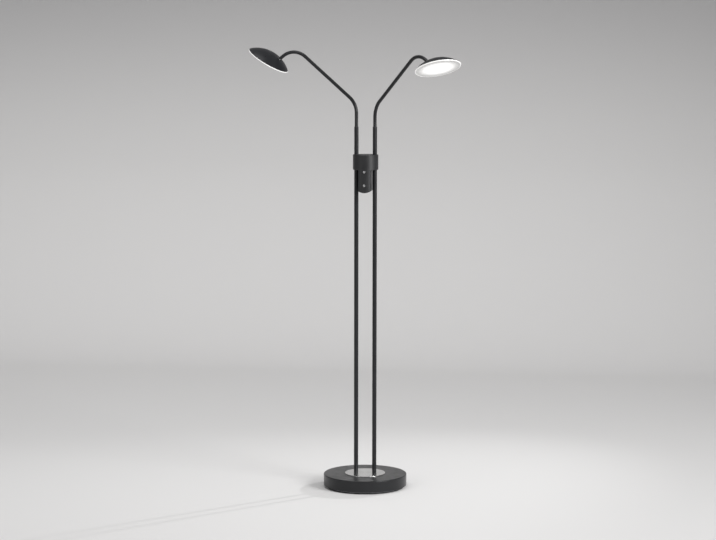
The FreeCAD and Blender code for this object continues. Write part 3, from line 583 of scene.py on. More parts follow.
class GrainGroup(EffectGroup):
    """Fine grain of sprayed, moulded or cast surfaces, with broad soft variation."""

    # Scale of the broader unevenness under the grain, as a share of the grain's.
    PEEL = 0.18

    def __init__(self) -> None:
        """Build the group."""
        super().__init__("surface_grain", ("Grain Size", "Mottle Size", "Coarseness"), ("Height", "Mottle"))
        place, scale = self.given["Vector"], self.math("DIVIDE", 1.0, self.given["Grain Size"])
        fine = self.noise(place, scale, detail=3.0, roughness=0.6)
        peel = self.noise(place, self.math("MULTIPLY", scale, self.PEEL), detail=1.0)
        self.give("Height", self.math("ADD", fine, self.math("MULTIPLY", self.given["Coarseness"], peel)))
        scale = self.math("DIVIDE", 1.0, self.given["Mottle Size"])
        broad = self.noise(place, scale, detail=4.0, roughness=0.55)
        self.give("Mottle", self.spread(broad, 0.3, 0.7))


class RingGroup(EffectGroup):
    """Fine turned lines round the Z axis of its vector."""

    # Scale of the broad bands, as a share of the lines'.
    BANDS = 0.12

    def __init__(self) -> None:
        """Build the group."""
        super().__init__("turned_lines", ("Line Width",), ("Height", "Streak"))
        lines = self.math("DIVIDE", self.from_axis(self.given["Vector"]), self.given["Line Width"])
        fine, bands = (self.made("ShaderNodeTexNoise", {"W": lines, "Scale": scale, "Detail": detail,
                                                        "Roughness": roughness}, noise_dimensions="1D")
                       for scale, detail, roughness in ((1.0, 3.0, 0.7), (self.BANDS, 2.0, 0.5)))
        self.give("Height", fine)
        self.give("Streak", self.spread(bands, 0.3, 0.7))


class DustGroup(EffectGroup):
    """Thin dust that settles on faces that look up."""

    # Scale of the clouds that the dust lies in.
    CLOUDS = 22.0

    def __init__(self) -> None:
        """Build the group."""
        super().__init__("settled_dust", ("Amount",), ("Mask",))
        facing = self.add("ShaderNodeNewGeometry").outputs["Normal"]
        level = self.spread(self.add("ShaderNodeSeparateXYZ", {0: facing}).outputs["Z"], 0.6, 1.0)
        cloud = self.noise(self.given["Vector"], self.CLOUDS, detail=5.0, roughness=0.65)
        share = self.math("MULTIPLY", level, self.spread(cloud, 0.35, 0.75, 0.25, 1.0))
        self.give("Mask", self.math("MULTIPLY", share, self.given["Amount"]))


@dataclass(frozen=True)
class Effects:
    """The groups that the finishes share."""

    grain: GrainGroup
    rings: RingGroup
    dust: DustGroup


# Finishes

@dataclass(frozen=True)
class Finish:
    """A surface with grain, soft variation and its own gloss.

    Lengths are in millimetres.
    """

    colour: Triple
    metallic: float = 0.0
    roughness: float = 0.5
    specular: float = 0.5
    grain: float = 0.4
    coarseness: float = 0.5
    bump: float = 0.2
    relief: float = 0.02
    mottle_size: float = 30.0
    mottle: float = 0.06
    shine_range: float = 0.05
    dust: float = 0.0

    def material(self, name: str, effects: Effects) -> bpy.types.Material:
        """Make the material.

        Args:
            name: Name of the material.
            effects: The shared groups.

        Returns:
            The material.
        """
        material, tree, place = self.blank(name)
        varied = self.surface(tree, place, effects)
        shader = tree.made("ShaderNodeBsdfPrincipled", {
            "Metallic": self.metallic, "Specular IOR Level": self.specular, **varied})
        tree.add("ShaderNodeOutputMaterial", {0: shader})
        return material

    @staticmethod
    def blank(name: str) -> tuple[bpy.types.Material, ShaderTree, Socket]:
        """A new material without a shader, its tree and the place on the object."""
        material = bpy.data.materials.new(name)
        material.use_nodes = True
        material.node_tree.nodes.clear()
        tree = ShaderTree(material.node_tree)
        return material, tree, tree.add("ShaderNodeTexCoord").outputs["Object"]

    def surface(self, tree: ShaderTree, place: Socket, effects: Effects) -> dict[str, Any]:
        """What varies over the surface.

        Args:
            tree: The material's tree.
            place: The place on the object.
            effects: The shared groups.

        Returns:
            Values and sockets by the shader's inputs.
        """
        grain = self.grained(tree, place, effects)
        colour, roughness = self.tinted(tree, grain["Mottle"]), self.dulled(tree, grain["Mottle"])
        if self.dust:
            mask = effects.dust.use(tree, {"Vector": place, "Amount": self.dust})["Mask"]
            colour = tree.mixed(mask, colour, DUST_COLOUR)
            roughness = tree.math("ADD", roughness, tree.math("MULTIPLY", mask, DUST_DULLING))
        return {"Base Color": colour, "Roughness": roughness, "Normal": self.raised(tree, grain["Height"])}

    def grained(self, tree: ShaderTree, place: Socket, effects: Effects) -> bpy.types.NodeOutputs:
        """The shared grain at this finish's sizes."""
        return effects.grain.use(tree, {"Vector": place, "Grain Size": self.grain * MM,
                                        "Mottle Size": self.mottle_size * MM, "Coarseness": self.coarseness})

    def tinted(self, tree: ShaderTree, mask: Socket) -> Socket:
        """The finish's colour, a little darker where a mask is 0 and lighter where it is 1."""
        shades = [(*(c * factor for c in self.colour), 1.0) for factor in (1 - self.mottle, 1 + self.mottle)]
        return tree.mixed(mask, *shades)

    def dulled(self, tree: ShaderTree, mask: Socket) -> Socket:
        """The finish's roughness, varied by a mask."""
        low, high = self.roughness - self.shine_range, self.roughness + self.shine_range
        return tree.spread(mask, 0.0, 1.0, low, high)

    def raised(self, tree: ShaderTree, height: Socket) -> Socket:
        """The normal of the surface with its fine relief."""
        return tree.made("ShaderNodeBump", {"Strength": self.bump, "Distance": self.relief * MM,
                                            "Height": height})


@dataclass(frozen=True)
class TurnedMetal(Finish):
    """Metal with fine turned lines round its own axis."""

    line_width: float = 0.18
    anisotropy: float = 0.5

    def surface(self, tree: ShaderTree, place: Socket, effects: Effects) -> dict[str, Any]:
        """What varies over the surface.

        Args:
            tree: The material's tree.
            place: The place on the object.
            effects: The shared groups.

        Returns:
            Values and sockets by the shader's inputs.
        """
        lines = effects.rings.use(tree, {"Vector": place, "Line Width": self.line_width * MM})
        mottle = self.grained(tree, place, effects)["Mottle"]
        share = tree.math("MULTIPLY", tree.math("ADD", lines["Streak"], mottle), 0.5)
        tangent = tree.made("ShaderNodeTangent", direction_type="RADIAL", axis="Z")
        return {"Base Color": self.tinted(tree, lines["Streak"]), "Roughness": self.dulled(tree, share),
                "Normal": self.raised(tree, lines["Height"]), "Tangent": tangent,
                "Anisotropic": self.anisotropy}


@dataclass(frozen=True)
class GlowingOpal(Finish):
    """Opal plastic lit from behind: bright in the middle, softer towards the rim."""

    reach: float = 75.0
    full_share: float = 0.42
    edge_glow: float = 0.05
    rim_share: float = 0.955
    rim_blend: float = 0.01
    rim_glow: float = 0.5
    strength: float = 0.75
    light: Triple = (1.0, 0.99, 0.975)
    body_shade: float = 0.97
    head: Matrix = field(default_factory=Matrix)

    def surface(self, tree: ShaderTree, place: Socket, effects: Effects) -> dict[str, Any]:
        """What varies over the surface, with the glow centred on the head.

        Args:
            tree: The material's tree.
            place: The place on the object.
            effects: The shared groups.

        Returns:
            Values and sockets by the shader's inputs.
        """
        in_head = tree.made("ShaderNodeMapping", {
            "Vector": place, "Location": self.head.to_translation() * MM,
            "Rotation": self.head.to_euler("XYZ")}, vector_type="TEXTURE")
        share = tree.math("DIVIDE", tree.from_axis(in_head), self.reach * MM)
        fall = tree.spread(share, self.full_share, self.rim_share, 1.0, self.edge_glow, "SMOOTHSTEP")
        rim = tree.spread(share, self.rim_share, self.rim_share + self.rim_blend)
        glow = tree.math("ADD", tree.math("MULTIPLY", fall, tree.math("SUBTRACT", 1.0, rim)),
                         tree.math("MULTIPLY", rim, self.rim_glow))
        grain = self.grained(tree, in_head, effects)
        even = tree.math("MULTIPLY", glow, tree.spread(grain["Mottle"], 0.0, 1.0, 1 - self.mottle, 1.0))
        shades = [(*(c * factor for c in self.colour), 1.0) for factor in (self.body_shade, 1.0)]
        return {"Base Color": tree.mixed(grain["Mottle"], *shades),
                "Roughness": self.dulled(tree, grain["Mottle"]),
                "Normal": self.raised(tree, grain["Height"]), "Emission Strength": self.strength,
                "Emission Color": tree.mixed(even, (0.0, 0.0, 0.0, 1.0), (*self.light, 1.0))}


FINISHES: dict[Slot, Finish] = {
    Slot.PAINT: Finish((0.0125, 0.013, 0.0145), roughness=0.32, specular=0.36, grain=0.35, bump=0.25,
                       relief=0.012, mottle=0.05, dust=0.04),
    Slot.DOME: Finish((0.011, 0.0115, 0.0135), roughness=0.32, specular=0.26, grain=0.35, bump=0.22,
                      relief=0.012, mottle=0.05),
    Slot.BALL: Finish((0.014, 0.0145, 0.016), roughness=0.26, specular=0.35, grain=0.3, bump=0.1,
                      relief=0.01),
    Slot.MOULDING: Finish((0.010, 0.0105, 0.0115), roughness=0.42, specular=0.58, grain=0.22, coarseness=0.2,
                          bump=0.3, relief=0.015, mottle=0.04),
    Slot.NICKEL: TurnedMetal((0.74, 0.74, 0.73), metallic=1.0, roughness=0.22, bump=0.06, relief=0.004,
                             mottle=0.012, mottle_size=40.0, shine_range=0.02),
    Slot.SILVER: Finish((0.56, 0.56, 0.57), metallic=1.0, roughness=0.26, grain=0.15, bump=0.06,
                        relief=0.004),
    Slot.CASTING: Finish((0.060, 0.058, 0.056), metallic=0.3, roughness=0.7, grain=1.6, coarseness=1.2,
                         bump=0.8, relief=0.15, mottle=0.2),
    # Zinc much darker than plated zinc is: painted shade, so that the plate's edge and the screws read dark
    # in the shadow gap under the foot.
    Slot.ZINC: Finish((0.20, 0.20, 0.21), metallic=1.0, roughness=0.42, grain=0.8, bump=0.1, mottle=0.1,
                      mottle_size=6.0, shine_range=0.09),
    Slot.BLACK_STEEL: Finish((0.025, 0.025, 0.027), metallic=0.6, roughness=0.38, grain=0.3, bump=0.15),
    Slot.FOAM: Finish((0.030, 0.030, 0.031), roughness=0.9, specular=0.2, grain=0.7, coarseness=0.8, bump=0.9,
                      relief=0.2, mottle=0.15),
    Slot.BLACK: Finish((0.022, 0.022, 0.023), roughness=0.42, grain=0.2, bump=0.25, relief=0.01),
    Slot.WHITE: Finish((0.72, 0.72, 0.69), roughness=0.4, grain=0.25, bump=0.1, mottle=0.03),
    Slot.GREEN_BOARD: Finish((0.020, 0.110, 0.045), roughness=0.35, grain=0.5, bump=0.15, mottle=0.12,
                             mottle_size=4.0),
    Slot.WHITE_BOARD: Finish((0.80, 0.80, 0.78), roughness=0.38, grain=0.4, bump=0.08, mottle=0.02),
    Slot.LED: Finish((0.85, 0.62, 0.12), roughness=0.3, grain=0.3, bump=0.05),
    Slot.ALUMINIUM: Finish((0.72, 0.73, 0.74), metallic=1.0, roughness=0.36, grain=0.5, bump=0.1,
                           mottle=0.05),
    Slot.OPAL: GlowingOpal((0.72, 0.72, 0.71), roughness=0.35, grain=0.3, coarseness=0.1, bump=0.04,
                           relief=0.01, mottle=0.015, shine_range=0.03),
}


class Workshop:
    """Makes the materials and turns finished forms into pieces on their bodies."""

    # A face is part of a round wall when its distance from the axis is right within this share
    # and it looks outwards by at least this cosine.
    ROUND_SHARE = 0.01
    ROUND_FACING = 0.995

    def __init__(self) -> None:
        """Build the shared groups, the trees and one material for each slot."""
        self.effects = Effects(GrainGroup(), RingGroup(), DustGroup())
        self.tubes = TubeTree()
        self.screws = ScrewTree()
        self.materials = {slot: finish.material(slot.value, self.effects)
                          for slot, finish in FINISHES.items()}
        self.replaced: set[str] = set()

    def piece(self, name: str, form: Form, slot: Slot, body: str, node: str,
              material: bpy.types.Material | None = None, round_wall: float = 0.0) -> None:
        """Finish a form as a piece of the lamp.

        Args:
            name: Name of the piece.
            form: Its shape in millimetres, in place.
            slot: The slot that its finish comes from.
            body: The body that it moves with.
            node: The node that it stands for.
            material: Its material where that isn't the slot's own.
            round_wall: Radius of the wall about the Z axis that shades as a true cylinder, or 0.
        """
        mesh = form.mesh
        mesh.name = name
        mesh.transform(Matrix.Scale(MM, 4))
        mesh.materials.clear()
        mesh.materials.append(material or self.materials[slot])
        mesh.polygons.foreach_set("material_index", [0] * len(mesh.polygons))
        mesh.shade_smooth()
        mesh.set_sharp_from_angle(angle=radians(CREASE))
        if round_wall:
            self.shade_round(mesh, round_wall * MM)
        made = put(name, mesh)
        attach(made, body)
        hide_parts(node)
        self.replaced.add(node)
        mesh.calc_loop_triangles()
        log.info("%s on %s: %d triangles", name, body, len(mesh.loop_triangles))

    def shade_round(self, mesh: bpy.types.Mesh, radius: float) -> None:
        """Give a round wall that has holes in it the normals of a true cylinder.

        Args:
            mesh: The finished mesh.
            radius: Radius of the wall in metres.
        """
        flat = Vector((1, 1, 0))
        normals = [corner.vector.copy() for corner in mesh.corner_normals]
        for face in mesh.polygons:
            outwards = face.center * flat
            off = abs(outwards.length - radius) > self.ROUND_SHARE * radius
            if off or face.normal.dot(outwards.normalized()) < self.ROUND_FACING:
                continue
            for corner in face.loop_indices:
                normals[corner] = (mesh.vertices[mesh.loops[corner].vertex_index].co * flat).normalized()
        mesh.normals_split_custom_set(normals)

    def dress_hidden_works(self) -> None:
        """Give the nodes that stay as they are the material of their slot."""
        for name, node in frame["nodes"].items():
            if name in self.replaced:
                continue
            slot = Slot(node.data.materials[0].name.split(".")[0])
            node.data.materials.clear()
            node.data.materials.append(self.materials[slot])
            log.info("%s keeps its shape, finish %s", name, slot.value)


# The lamp

@dataclass
class Base:
    """Weighted round foot: painted cover, nickel disc, cord inlet and the screws underneath."""

    radius: float = 140.0
    foot: float = 7.0
    top: float = 45.0
    edge: float = 2.5
    wall: float = 1.5
    hem: float = 5.0
    hem_edge: float = 0.4
    inner_edge: float = 1.0
    disc_radius: float = 68.0
    disc_top: float = 47.0
    stud_hole: float = 5.15
    inlet_flange: float = 8.5
    inlet_proud: float = 2.0
    inlet_sunk: float = 0.3
    inlet_body: float = 6.0
    inlet_depth: float = 10.5
    inlet_bore: float = 3.2
    inlet_gap: float = 0.15
    wall_gap: float = 0.02
    screw_seat: float = 4.0
    edge_steps: int = 7
    sides: int = 256

    def build(self, shop: Workshop) -> None:
        """Make the pieces of the foot."""
        stud = Form.rod(self.stud_hole, self.top - PAST, self.disc_top + PAST)
        left, right = (stud.placed(shift(middle(side.node("pole")).x)) for side in Side)
        studs = left.joined(right)
        shop.piece("foot_cover", self.cover(studs), Slot.PAINT, ROOT, "base_cover", round_wall=self.radius)
        shop.piece("foot_disc", self.disc().cut(studs), Slot.NICKEL, ROOT, "inset_disc")
        shop.piece("cord_inlet", self.inlet(), Slot.BLACK, ROOT, "cable_gland")
        shop.piece("underside_screws", self.screws(shop), Slot.ZINC, ROOT, "bottom_screws")

    def cover(self, studs: Form) -> Form:
        """Pressed steel drum, hemmed at its foot, with holes for the studs and the cord inlet."""
        inner, hem = self.radius - self.wall, self.radius - self.wall - self.hem
        shell = Form.turned([
            (0, self.top, 0), (self.radius, self.top, self.edge), (self.radius, self.foot, self.hem_edge),
            (hem, self.foot, self.hem_edge), (hem, self.foot + self.wall, self.hem_edge),
            (inner, self.foot + self.wall, self.hem_edge), (inner, self.top - self.wall, self.inner_edge),
            (0, self.top - self.wall, 0)], self.sides, self.edge_steps)
        hole = self.along_y(Form.rod(self.inlet_body + self.inlet_gap, inner - PAST, self.radius + PAST))
        return shell.cut(studs.joined(hole))

    def along_y(self, form: Form) -> Form:
        """Stand a form, drawn on the Z axis, along Y at the inlet's height."""
        return form.placed(shift(z=(self.foot + self.top) / 2) @ spin(-90, "X"))

    def disc(self) -> Form:
        """Flat plate that the poles stand on, with a softened edge."""
        return Form.turned([(0, self.top, 0), (self.disc_radius, self.top, 0.2),
                            (self.disc_radius, self.disc_top, 0.65), (0, self.disc_top, 0)], self.sides)

    def inlet(self) -> Form:
        """Flanged bushing for the supply cord in the rear of the cover."""
        inner = self.radius - self.inlet_depth
        seat, outer = self.radius - self.inlet_sunk, self.radius + self.inlet_proud
        bush = self.along_y(Form.turned([
            (self.inlet_bore, inner, 0.3), (self.inlet_body, inner, 0.5), (self.inlet_body, seat, 0),
            (self.inlet_flange, seat, 0), (self.inlet_flange, outer, 0.7),
            (self.inlet_bore, outer, 0.8)], FINE))
        wall = Form.rod(self.radius + self.wall_gap, self.foot, self.top, self.sides)
        way = Form.rod(self.inlet_body, inner - PAST, self.radius + PAST, FINE)
        return bush.cut(wall.cut(self.along_y(way)))

    def screws(self, shop: Workshop) -> Form:
        """The four screws of the bottom plate."""
        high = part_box("bottom_screws")[1] / MM
        reach = high.x - SCREW["Head Diameter"] / 2
        corners = ((1, 1), (-1, 1), (-1, -1), (1, -1))
        seats = [Vector((reach * x, reach * y, self.screw_seat)) for x, y in corners]
        return shop.screws.row(seats, Vector((0, 0, 1)), high.z - self.screw_seat, shop.materials[Slot.ZINC])


@dataclass
class Pole:
    """One upright tube with the collar that guides its arm."""

    side: Side
    diameter: float = 14.5
    wall: float = 0.8
    bore: float = 5.83
    liner: float = 6.43
    sides: int = 72

    def build(self, shop: Workshop) -> None:
        """Make the tube and its collar."""
        pole, bush = self.side.node("pole"), self.side.node("pole_bush")
        x, low, high = middle(pole).x, *(corner.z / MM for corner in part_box(pole))
        path = [(Vector((x, 0, z)), 1.0) for z in (low, (low + high) / 2, high)]
        tube = shop.tubes.along(path, self.diameter, self.wall, self.sides, shop.materials[Slot.PAINT])
        shop.piece(self.side.node("upright"), tube, Slot.PAINT, ROOT, pole)
        foot, top = (corner.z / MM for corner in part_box(bush))
        collar = Form.turned([
            (self.bore, foot, 0.2), (self.liner, foot, 0.2), (self.liner, high, 0),
            (self.diameter / 2, high, 0.1), (self.diameter / 2, top, 0.55),
            (self.bore, top, 0.35)], self.sides)
        shop.piece(self.side.node("collar"), collar.placed(shift(x)), Slot.BLACK, ROOT, bush)


@dataclass
class ControlUnit:
    """Moulded drum and tongue in two halves, with cap, rear screws and push buttons."""

    radius: float = 42.5
    tongue: float = 20.4
    tongue_foot: float = 999.0
    tongue_arc: float = 42.0
    drum_foot: float = 1075.0
    seam: float = 1122.0
    top: float = 1125.0
    wall: float = 2.2
    soft_edge: float = 0.8
    seam_edge: float = 0.22
    # Degrees of turn over which an edge of the skin is rounded, and of the shell softened or kept sharp.
    corner_angle: float = 40.0
    shell_angle: float = 50.0
    sharp_angle: float = 38.0
    # A corner of the skin is on the round wall when it is this near to it.
    on_wall: float = 0.01
    # Degrees beside the tongue's corner that stay free of facets.
    corner_gap: float = 1.4
    lip_gap: float = 0.15
    lip_depth: float = 2.0
    pole_hole: float = 7.4
    pole_bevel: float = 0.35
    pole_proud: float = 0.05
    notch_sides: int = 24
    button_hole: float = 4.08
    button_depth: float = 5.0
    button_bevel: float = 0.8
    button_proud: float = 0.1
    button_cap: float = 4.0
    button_crown: float = 0.6
    button_edge: float = 0.35
    button_stem: float = 1.6
    button_flange: float = 1.2
    button_gap: float = 0.1
    screw_hole: float = 1.65
    screw_well: float = 2.85
    screw_sink: float = 6.0
    well_start: float = 5.0
    # Each pair of screws: how far to the sides, how high, and how far past the middle its shanks reach.
    screw_pairs: tuple[Triple, ...] = ((15.0, 1094.5, 22.0), (10.5, 1013.0, 9.0))
    sides: int = 192

    def build(self, shop: Workshop) -> None:
        """Make the halves, the cap, the screws and the buttons."""
        drill = Form.drill(self.button_hole, self.radius - self.button_depth, self.radius,
                           self.button_bevel, self.button_proud)
        holes = [self.facing(drill, middle(button.node("button")).z, -1) for button in Button]
        wells = [self.facing(self.well(x), z, 1, way * x) for x, z, _ in self.screw_pairs for way in (-1, 1)]
        for way, name, tools in ((-1, "front", holes), (1, "rear", wells)):
            half = self.weighted(self.half(way).cut(tools[0].joined(*tools[1:])))
            shop.piece(f"control_{name}", half, Slot.MOULDING, ROOT, f"{name}_housing",
                       round_wall=self.radius)
        shop.piece("control_cap", self.cap(), Slot.MOULDING, ROOT, "housing_cap")
        shop.piece("control_screws", self.screws(shop), Slot.BLACK_STEEL, ROOT, "housing_screws")
        for button in Button:
            node = button.node("button")
            shop.piece(button.node("push_button"), self.button(node), Slot.SILVER, f"{node}_body", node)

    @staticmethod
    def facing(form: Form, z: float, way: int, x: float = 0.0) -> Form:
        """Turn a form on the Z axis so that it looks along Y, forwards for -1 or back for 1."""
        return form.placed(shift(x, 0, z) @ spin(-90 * way, "X"))

    def weighted(self, form: Form) -> Form:
        """Let the flat faces shade flat between the soft edges."""
        form.mesh.shade_smooth()
        form.mesh.set_sharp_from_angle(angle=radians(self.sharp_angle))
        return form.worked(("WEIGHTED_NORMAL", {"keep_sharp": True, "weight": 60}))

    def seat(self, x: float) -> float:
        """How far back the flat seat under a screw's head is."""
        return sqrt(self.radius ** 2 - x ** 2) - self.screw_sink

    def well(self, x: float) -> Form:
        """Tool for a sunk screw's round well and the hole in its floor."""
        low, seat, high = self.well_start, self.seat(x), self.radius + PAST
        return Form.turned([(0, low, 0), (self.screw_hole, low, 0), (self.screw_hole, seat, 0),
                            (self.screw_well, seat, 0), (self.screw_well, high, 0), (0, high, 0)], PLAIN)

    def half(self, way: int) -> Form:
        """One half of the housing as a shell.

        Args:
            way: -1 for the front half and 1 for the rear one.

        Returns:
            The shell, soft at its outer edges and at the seam.
        """
        sketch = self.skin(way)
        soft = sketch.edges.layers.float.new("bevel_weight_edge")
        for edge in sketch.edges:
            edge[soft] = float(self.is_outer_edge(edge))
        return Form.from_sketch(sketch).worked(
            ("BEVEL", {"limit_method": "WEIGHT", "width": self.soft_edge, "segments": 4}),
            ("SOLIDIFY", {"thickness": self.wall, "offset": -1.0, "use_even_offset": True}),
            ("BEVEL", {"limit_method": "ANGLE", "angle_limit": radians(self.shell_angle),
                       "width": self.seam_edge, "segments": 2}))

    def skin(self, way: int) -> bmesh.types.BMesh:
        """The outer surface of one half: round wall, underside and tongue.

        Args:
            way: -1 for the front half and 1 for the rear one.

        Returns:
            The surface, open at its top and at the seam between the halves, with its faces outwards.
        """
        sketch = bmesh.new()
        limit = asin(self.tongue / self.radius)
        steps = [radians(a) for a in range(-90, 91)]
        facets = [a for a in steps if abs(abs(a) - limit) > radians(self.corner_gap)]
        across = sorted([*facets, -limit, limit])

        def point(angle: float, z: float) -> bmesh.types.BMVert:
            """A point of the round wall."""
            return sketch.verts.new((self.radius * sin(angle), way * self.radius * cos(angle), z))

        seam = {a: point(a, self.seam) for a in across}
        rim = {a: point(a, self.drum_foot) for a in across}
        inner = [a for a in across if abs(a) <= limit + SAME]
        low = {a: point(a, self.tongue_bottom(self.radius * sin(a))) for a in inner}
        back = {a: sketch.verts.new((low[a].co.x, 0, low[a].co.z)) for a in inner}
        for first, second in zip(across, across[1:]):
            sketch.faces.new((rim[first], rim[second], seam[second], seam[first]))
        for first, second in zip(inner, inner[1:]):
            sketch.faces.new((low[first], low[second], rim[second], rim[first]))
            sketch.faces.new((back[first], back[second], low[second], low[first]))
        pole = abs(middle(Side.LEFT.node("pole")).x)
        for edge, turn in ((-limit, -1), (limit, 1)):
            corner = sketch.verts.new((turn * self.tongue, 0, self.drum_foot))
            sketch.faces.new((back[edge], low[edge], rim[edge], corner))
            outer = sorted([a for a in across if a * turn >= limit - SAME], key=abs)
            angles = [pi * k / self.notch_sides for k in range(self.notch_sides + 1)]
            notch = [sketch.verts.new((turn * (pole + self.pole_hole * cos(a)), way * self.pole_hole * sin(a),
                                       self.drum_foot)) for a in angles]
            sketch.faces.new([rim[a] for a in outer] + notch + [corner])
        bmesh.ops.recalc_face_normals(sketch, faces=sketch.faces)
        wall = next(face for face in sketch.faces if seam[across[0]] in face.verts)
        if wall.normal.dot(wall.calc_center_median() * Vector((1, 1, 0))) < 0:
            bmesh.ops.reverse_faces(sketch, faces=sketch.faces)
        return sketch

    def is_outer_edge(self, edge: bmesh.types.BMEdge) -> bool:
        """Whether an edge of the skin is one of the outer corners that are softened."""
        if len(edge.link_faces) != 2 or edge.calc_face_angle(0) < radians(self.corner_angle):
            return False
        return all(abs(Vector(v.co[:2]).length - self.radius) < self.on_wall for v in edge.verts)

    def tongue_bottom(self, x: float) -> float:
        """Height of the tongue's round lower end at a distance from the middle."""
        return self.tongue_foot + self.tongue_arc - sqrt(self.tongue_arc ** 2 - x ** 2)

    def cap(self) -> Form:
        """Lid of the drum with the holes that the poles pass through."""
        lip, foot = self.radius - self.wall - self.lip_gap, self.seam - self.lip_depth
        lid = Form.turned([(0, self.seam, 0), (lip - self.wall, self.seam, 0), (lip - self.wall, foot, 0.3),
                           (lip, foot, 0.3), (lip, self.seam, 0), (self.radius, self.seam, self.seam_edge),
                           (self.radius, self.top, self.soft_edge), (0, self.top, 0)], self.sides)
        tool = Form.drill(self.pole_hole, foot - PAST, self.top, self.pole_bevel, self.pole_proud)
        holes = [tool.placed(shift(middle(side.node("pole")).x)) for side in Side]
        return lid.cut(holes[0].joined(holes[1]))

    def screws(self, shop: Workshop) -> Form:
        """The four screws that hold the halves together."""
        rows = [shop.screws.row([Vector((way * x, self.seat(x), z)) for way in (-1, 1)], Vector((0, -1, 0)),
                                self.seat(x) + past, shop.materials[Slot.BLACK_STEEL])
                for x, z, past in self.screw_pairs]
        return rows[0].joined(rows[1])

    def button(self, node: str) -> Form:
        """Crowned push button with the flange that keeps it in and its stem.

        Args:
            node: The button's node, which gives its place.

        Returns:
            The button, looking forwards.
        """
        low, high = (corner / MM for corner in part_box(node))
        front, tip, flange = -low.y, -high.y, (high.x - low.x) / 2
        cap, crown, stem = self.button_cap, self.button_crown, self.button_stem
        seat = sqrt((self.radius - self.wall) ** 2 - flange ** 2) - self.button_gap
        rear = seat - self.button_flange
        bulge = (cap ** 2 + crown ** 2) / (2 * crown)
        crowned = arc(bulge, front - bulge, 0, asin((cap - self.button_edge) / bulge), 6)[::-1]
        outline = [(0, tip, 0), (stem, tip, 0.2), (stem, rear, 0), (flange, rear, 0.2), (flange, seat, 0.2),
                   (cap, seat, 0), (cap, front - crown, 0.3)]
        return self.facing(Form.turned(outline + crowned, FINE), middle(node).z, -1)


@dataclass
class Arm:
    """Bent tube that lifts and turns in its pole."""

    side: Side
    diameter: float = 11.5
    wall: float = 1.0
    tail: float = 240.0
    low_bend: float = 70.0
    rise: float = 40.5
    run: float = 206.0
    hook: float = 62.0
    drop: float = 38.0
    neck: float = 22.0
    neck_gap: float = 12.227
    bead_up: float = 30.08
    bead_height: float = 1.6
    bead_radius: float = 6.21
    bead_step: float = 0.05
    sides: int = 56
    turn_step: float = 2.0

    def build(self, shop: Workshop) -> None:
        """Make the tube."""
        node = self.side.node
        tube = shop.tubes.along(self.path(), self.diameter, self.wall, self.sides, shop.materials[Slot.PAINT])
        shop.piece(node("bent_arm"), tube, Slot.PAINT, node("arm"), node("arm_tube"))

    def path(self) -> list[tuple[Vector, float]]:
        """Points of the centre line with the width there, in place."""
        rise, drop = radians(self.rise), radians(self.drop)
        ups = (-self.bead_step, self.bead_step, self.bead_height / 2, self.bead_height)
        bead = [(0.0, self.bead_up - self.tail + up) for up in ups]
        wide = self.bead_radius * 2 / self.diameter
        bend = [(self.low_bend * (1 - cos(a)), self.low_bend * sin(a)) for a in self.angles(0, pi / 2 - rise)]
        x, z = bend[-1]
        start = (x + self.run * cos(rise), z + self.run * sin(rise))
        centre = (start[0] + self.hook * sin(rise), start[1] - self.hook * cos(rise))
        hook = [(centre[0] + self.hook * sin(a), centre[1] + self.hook * cos(a))
                for a in self.angles(-rise, drop)]
        end, ball = ((hook[-1][0] + reach * cos(drop), hook[-1][1] - reach * sin(drop))
                     for reach in (self.neck_gap, self.neck))
        flat = [((0.0, -self.tail), 1.0), *zip(bead, (1.0, wide, wide, 1.0))]
        flat += [(p, 1.0) for p in [*bend, ((x + start[0]) / 2, (z + start[1]) / 2), *hook, end]]
        place = self.place(ball)
        return [(place @ Vector((across, 0, up)), width) for (across, up), width in flat]

    def angles(self, start: float, end: float) -> list[float]:
        """Even steps of an arc, in radians."""
        count = round(abs(end - start) / radians(self.turn_step))
        return [start + (end - start) * k / count for k in range(count + 1)]

    def place(self, ball: tuple[float, float]) -> Matrix:
        """Frame of the arm's own plane.

        Args:
            ball: Where the ball's centre is in that plane.

        Returns:
            The move from the plane, x outwards from the pole, to the lamp.
        """
        end = Vector(joint(self.side.node("head_turn"))["pos_m"]) / MM
        pole = middle(self.side.node("pole")).x
        bearing = atan2(end.y, end.x - pole)
        return shift(pole, 0, end.z - ball[1]) @ Matrix.Rotation(bearing, 4, "Z")


@dataclass(frozen=True)
class Boss:
    """Round post inside the shade, with a pilot hole for its screw."""

    radius: float
    foot: float
    pilot: float
    pilot_foot: float
    pilot_top: float
    top: float = 40.0
    pilot_sides: int = 24

    def forms(self, place: Matrix) -> tuple[Form, Form]:
        """The post, longer than the shade is deep, and the tool for its hole."""
        return (Form.rod(self.radius, self.foot, self.top).placed(place),
                Form.rod(self.pilot, self.pilot_foot, self.pilot_top, self.pilot_sides).placed(place))


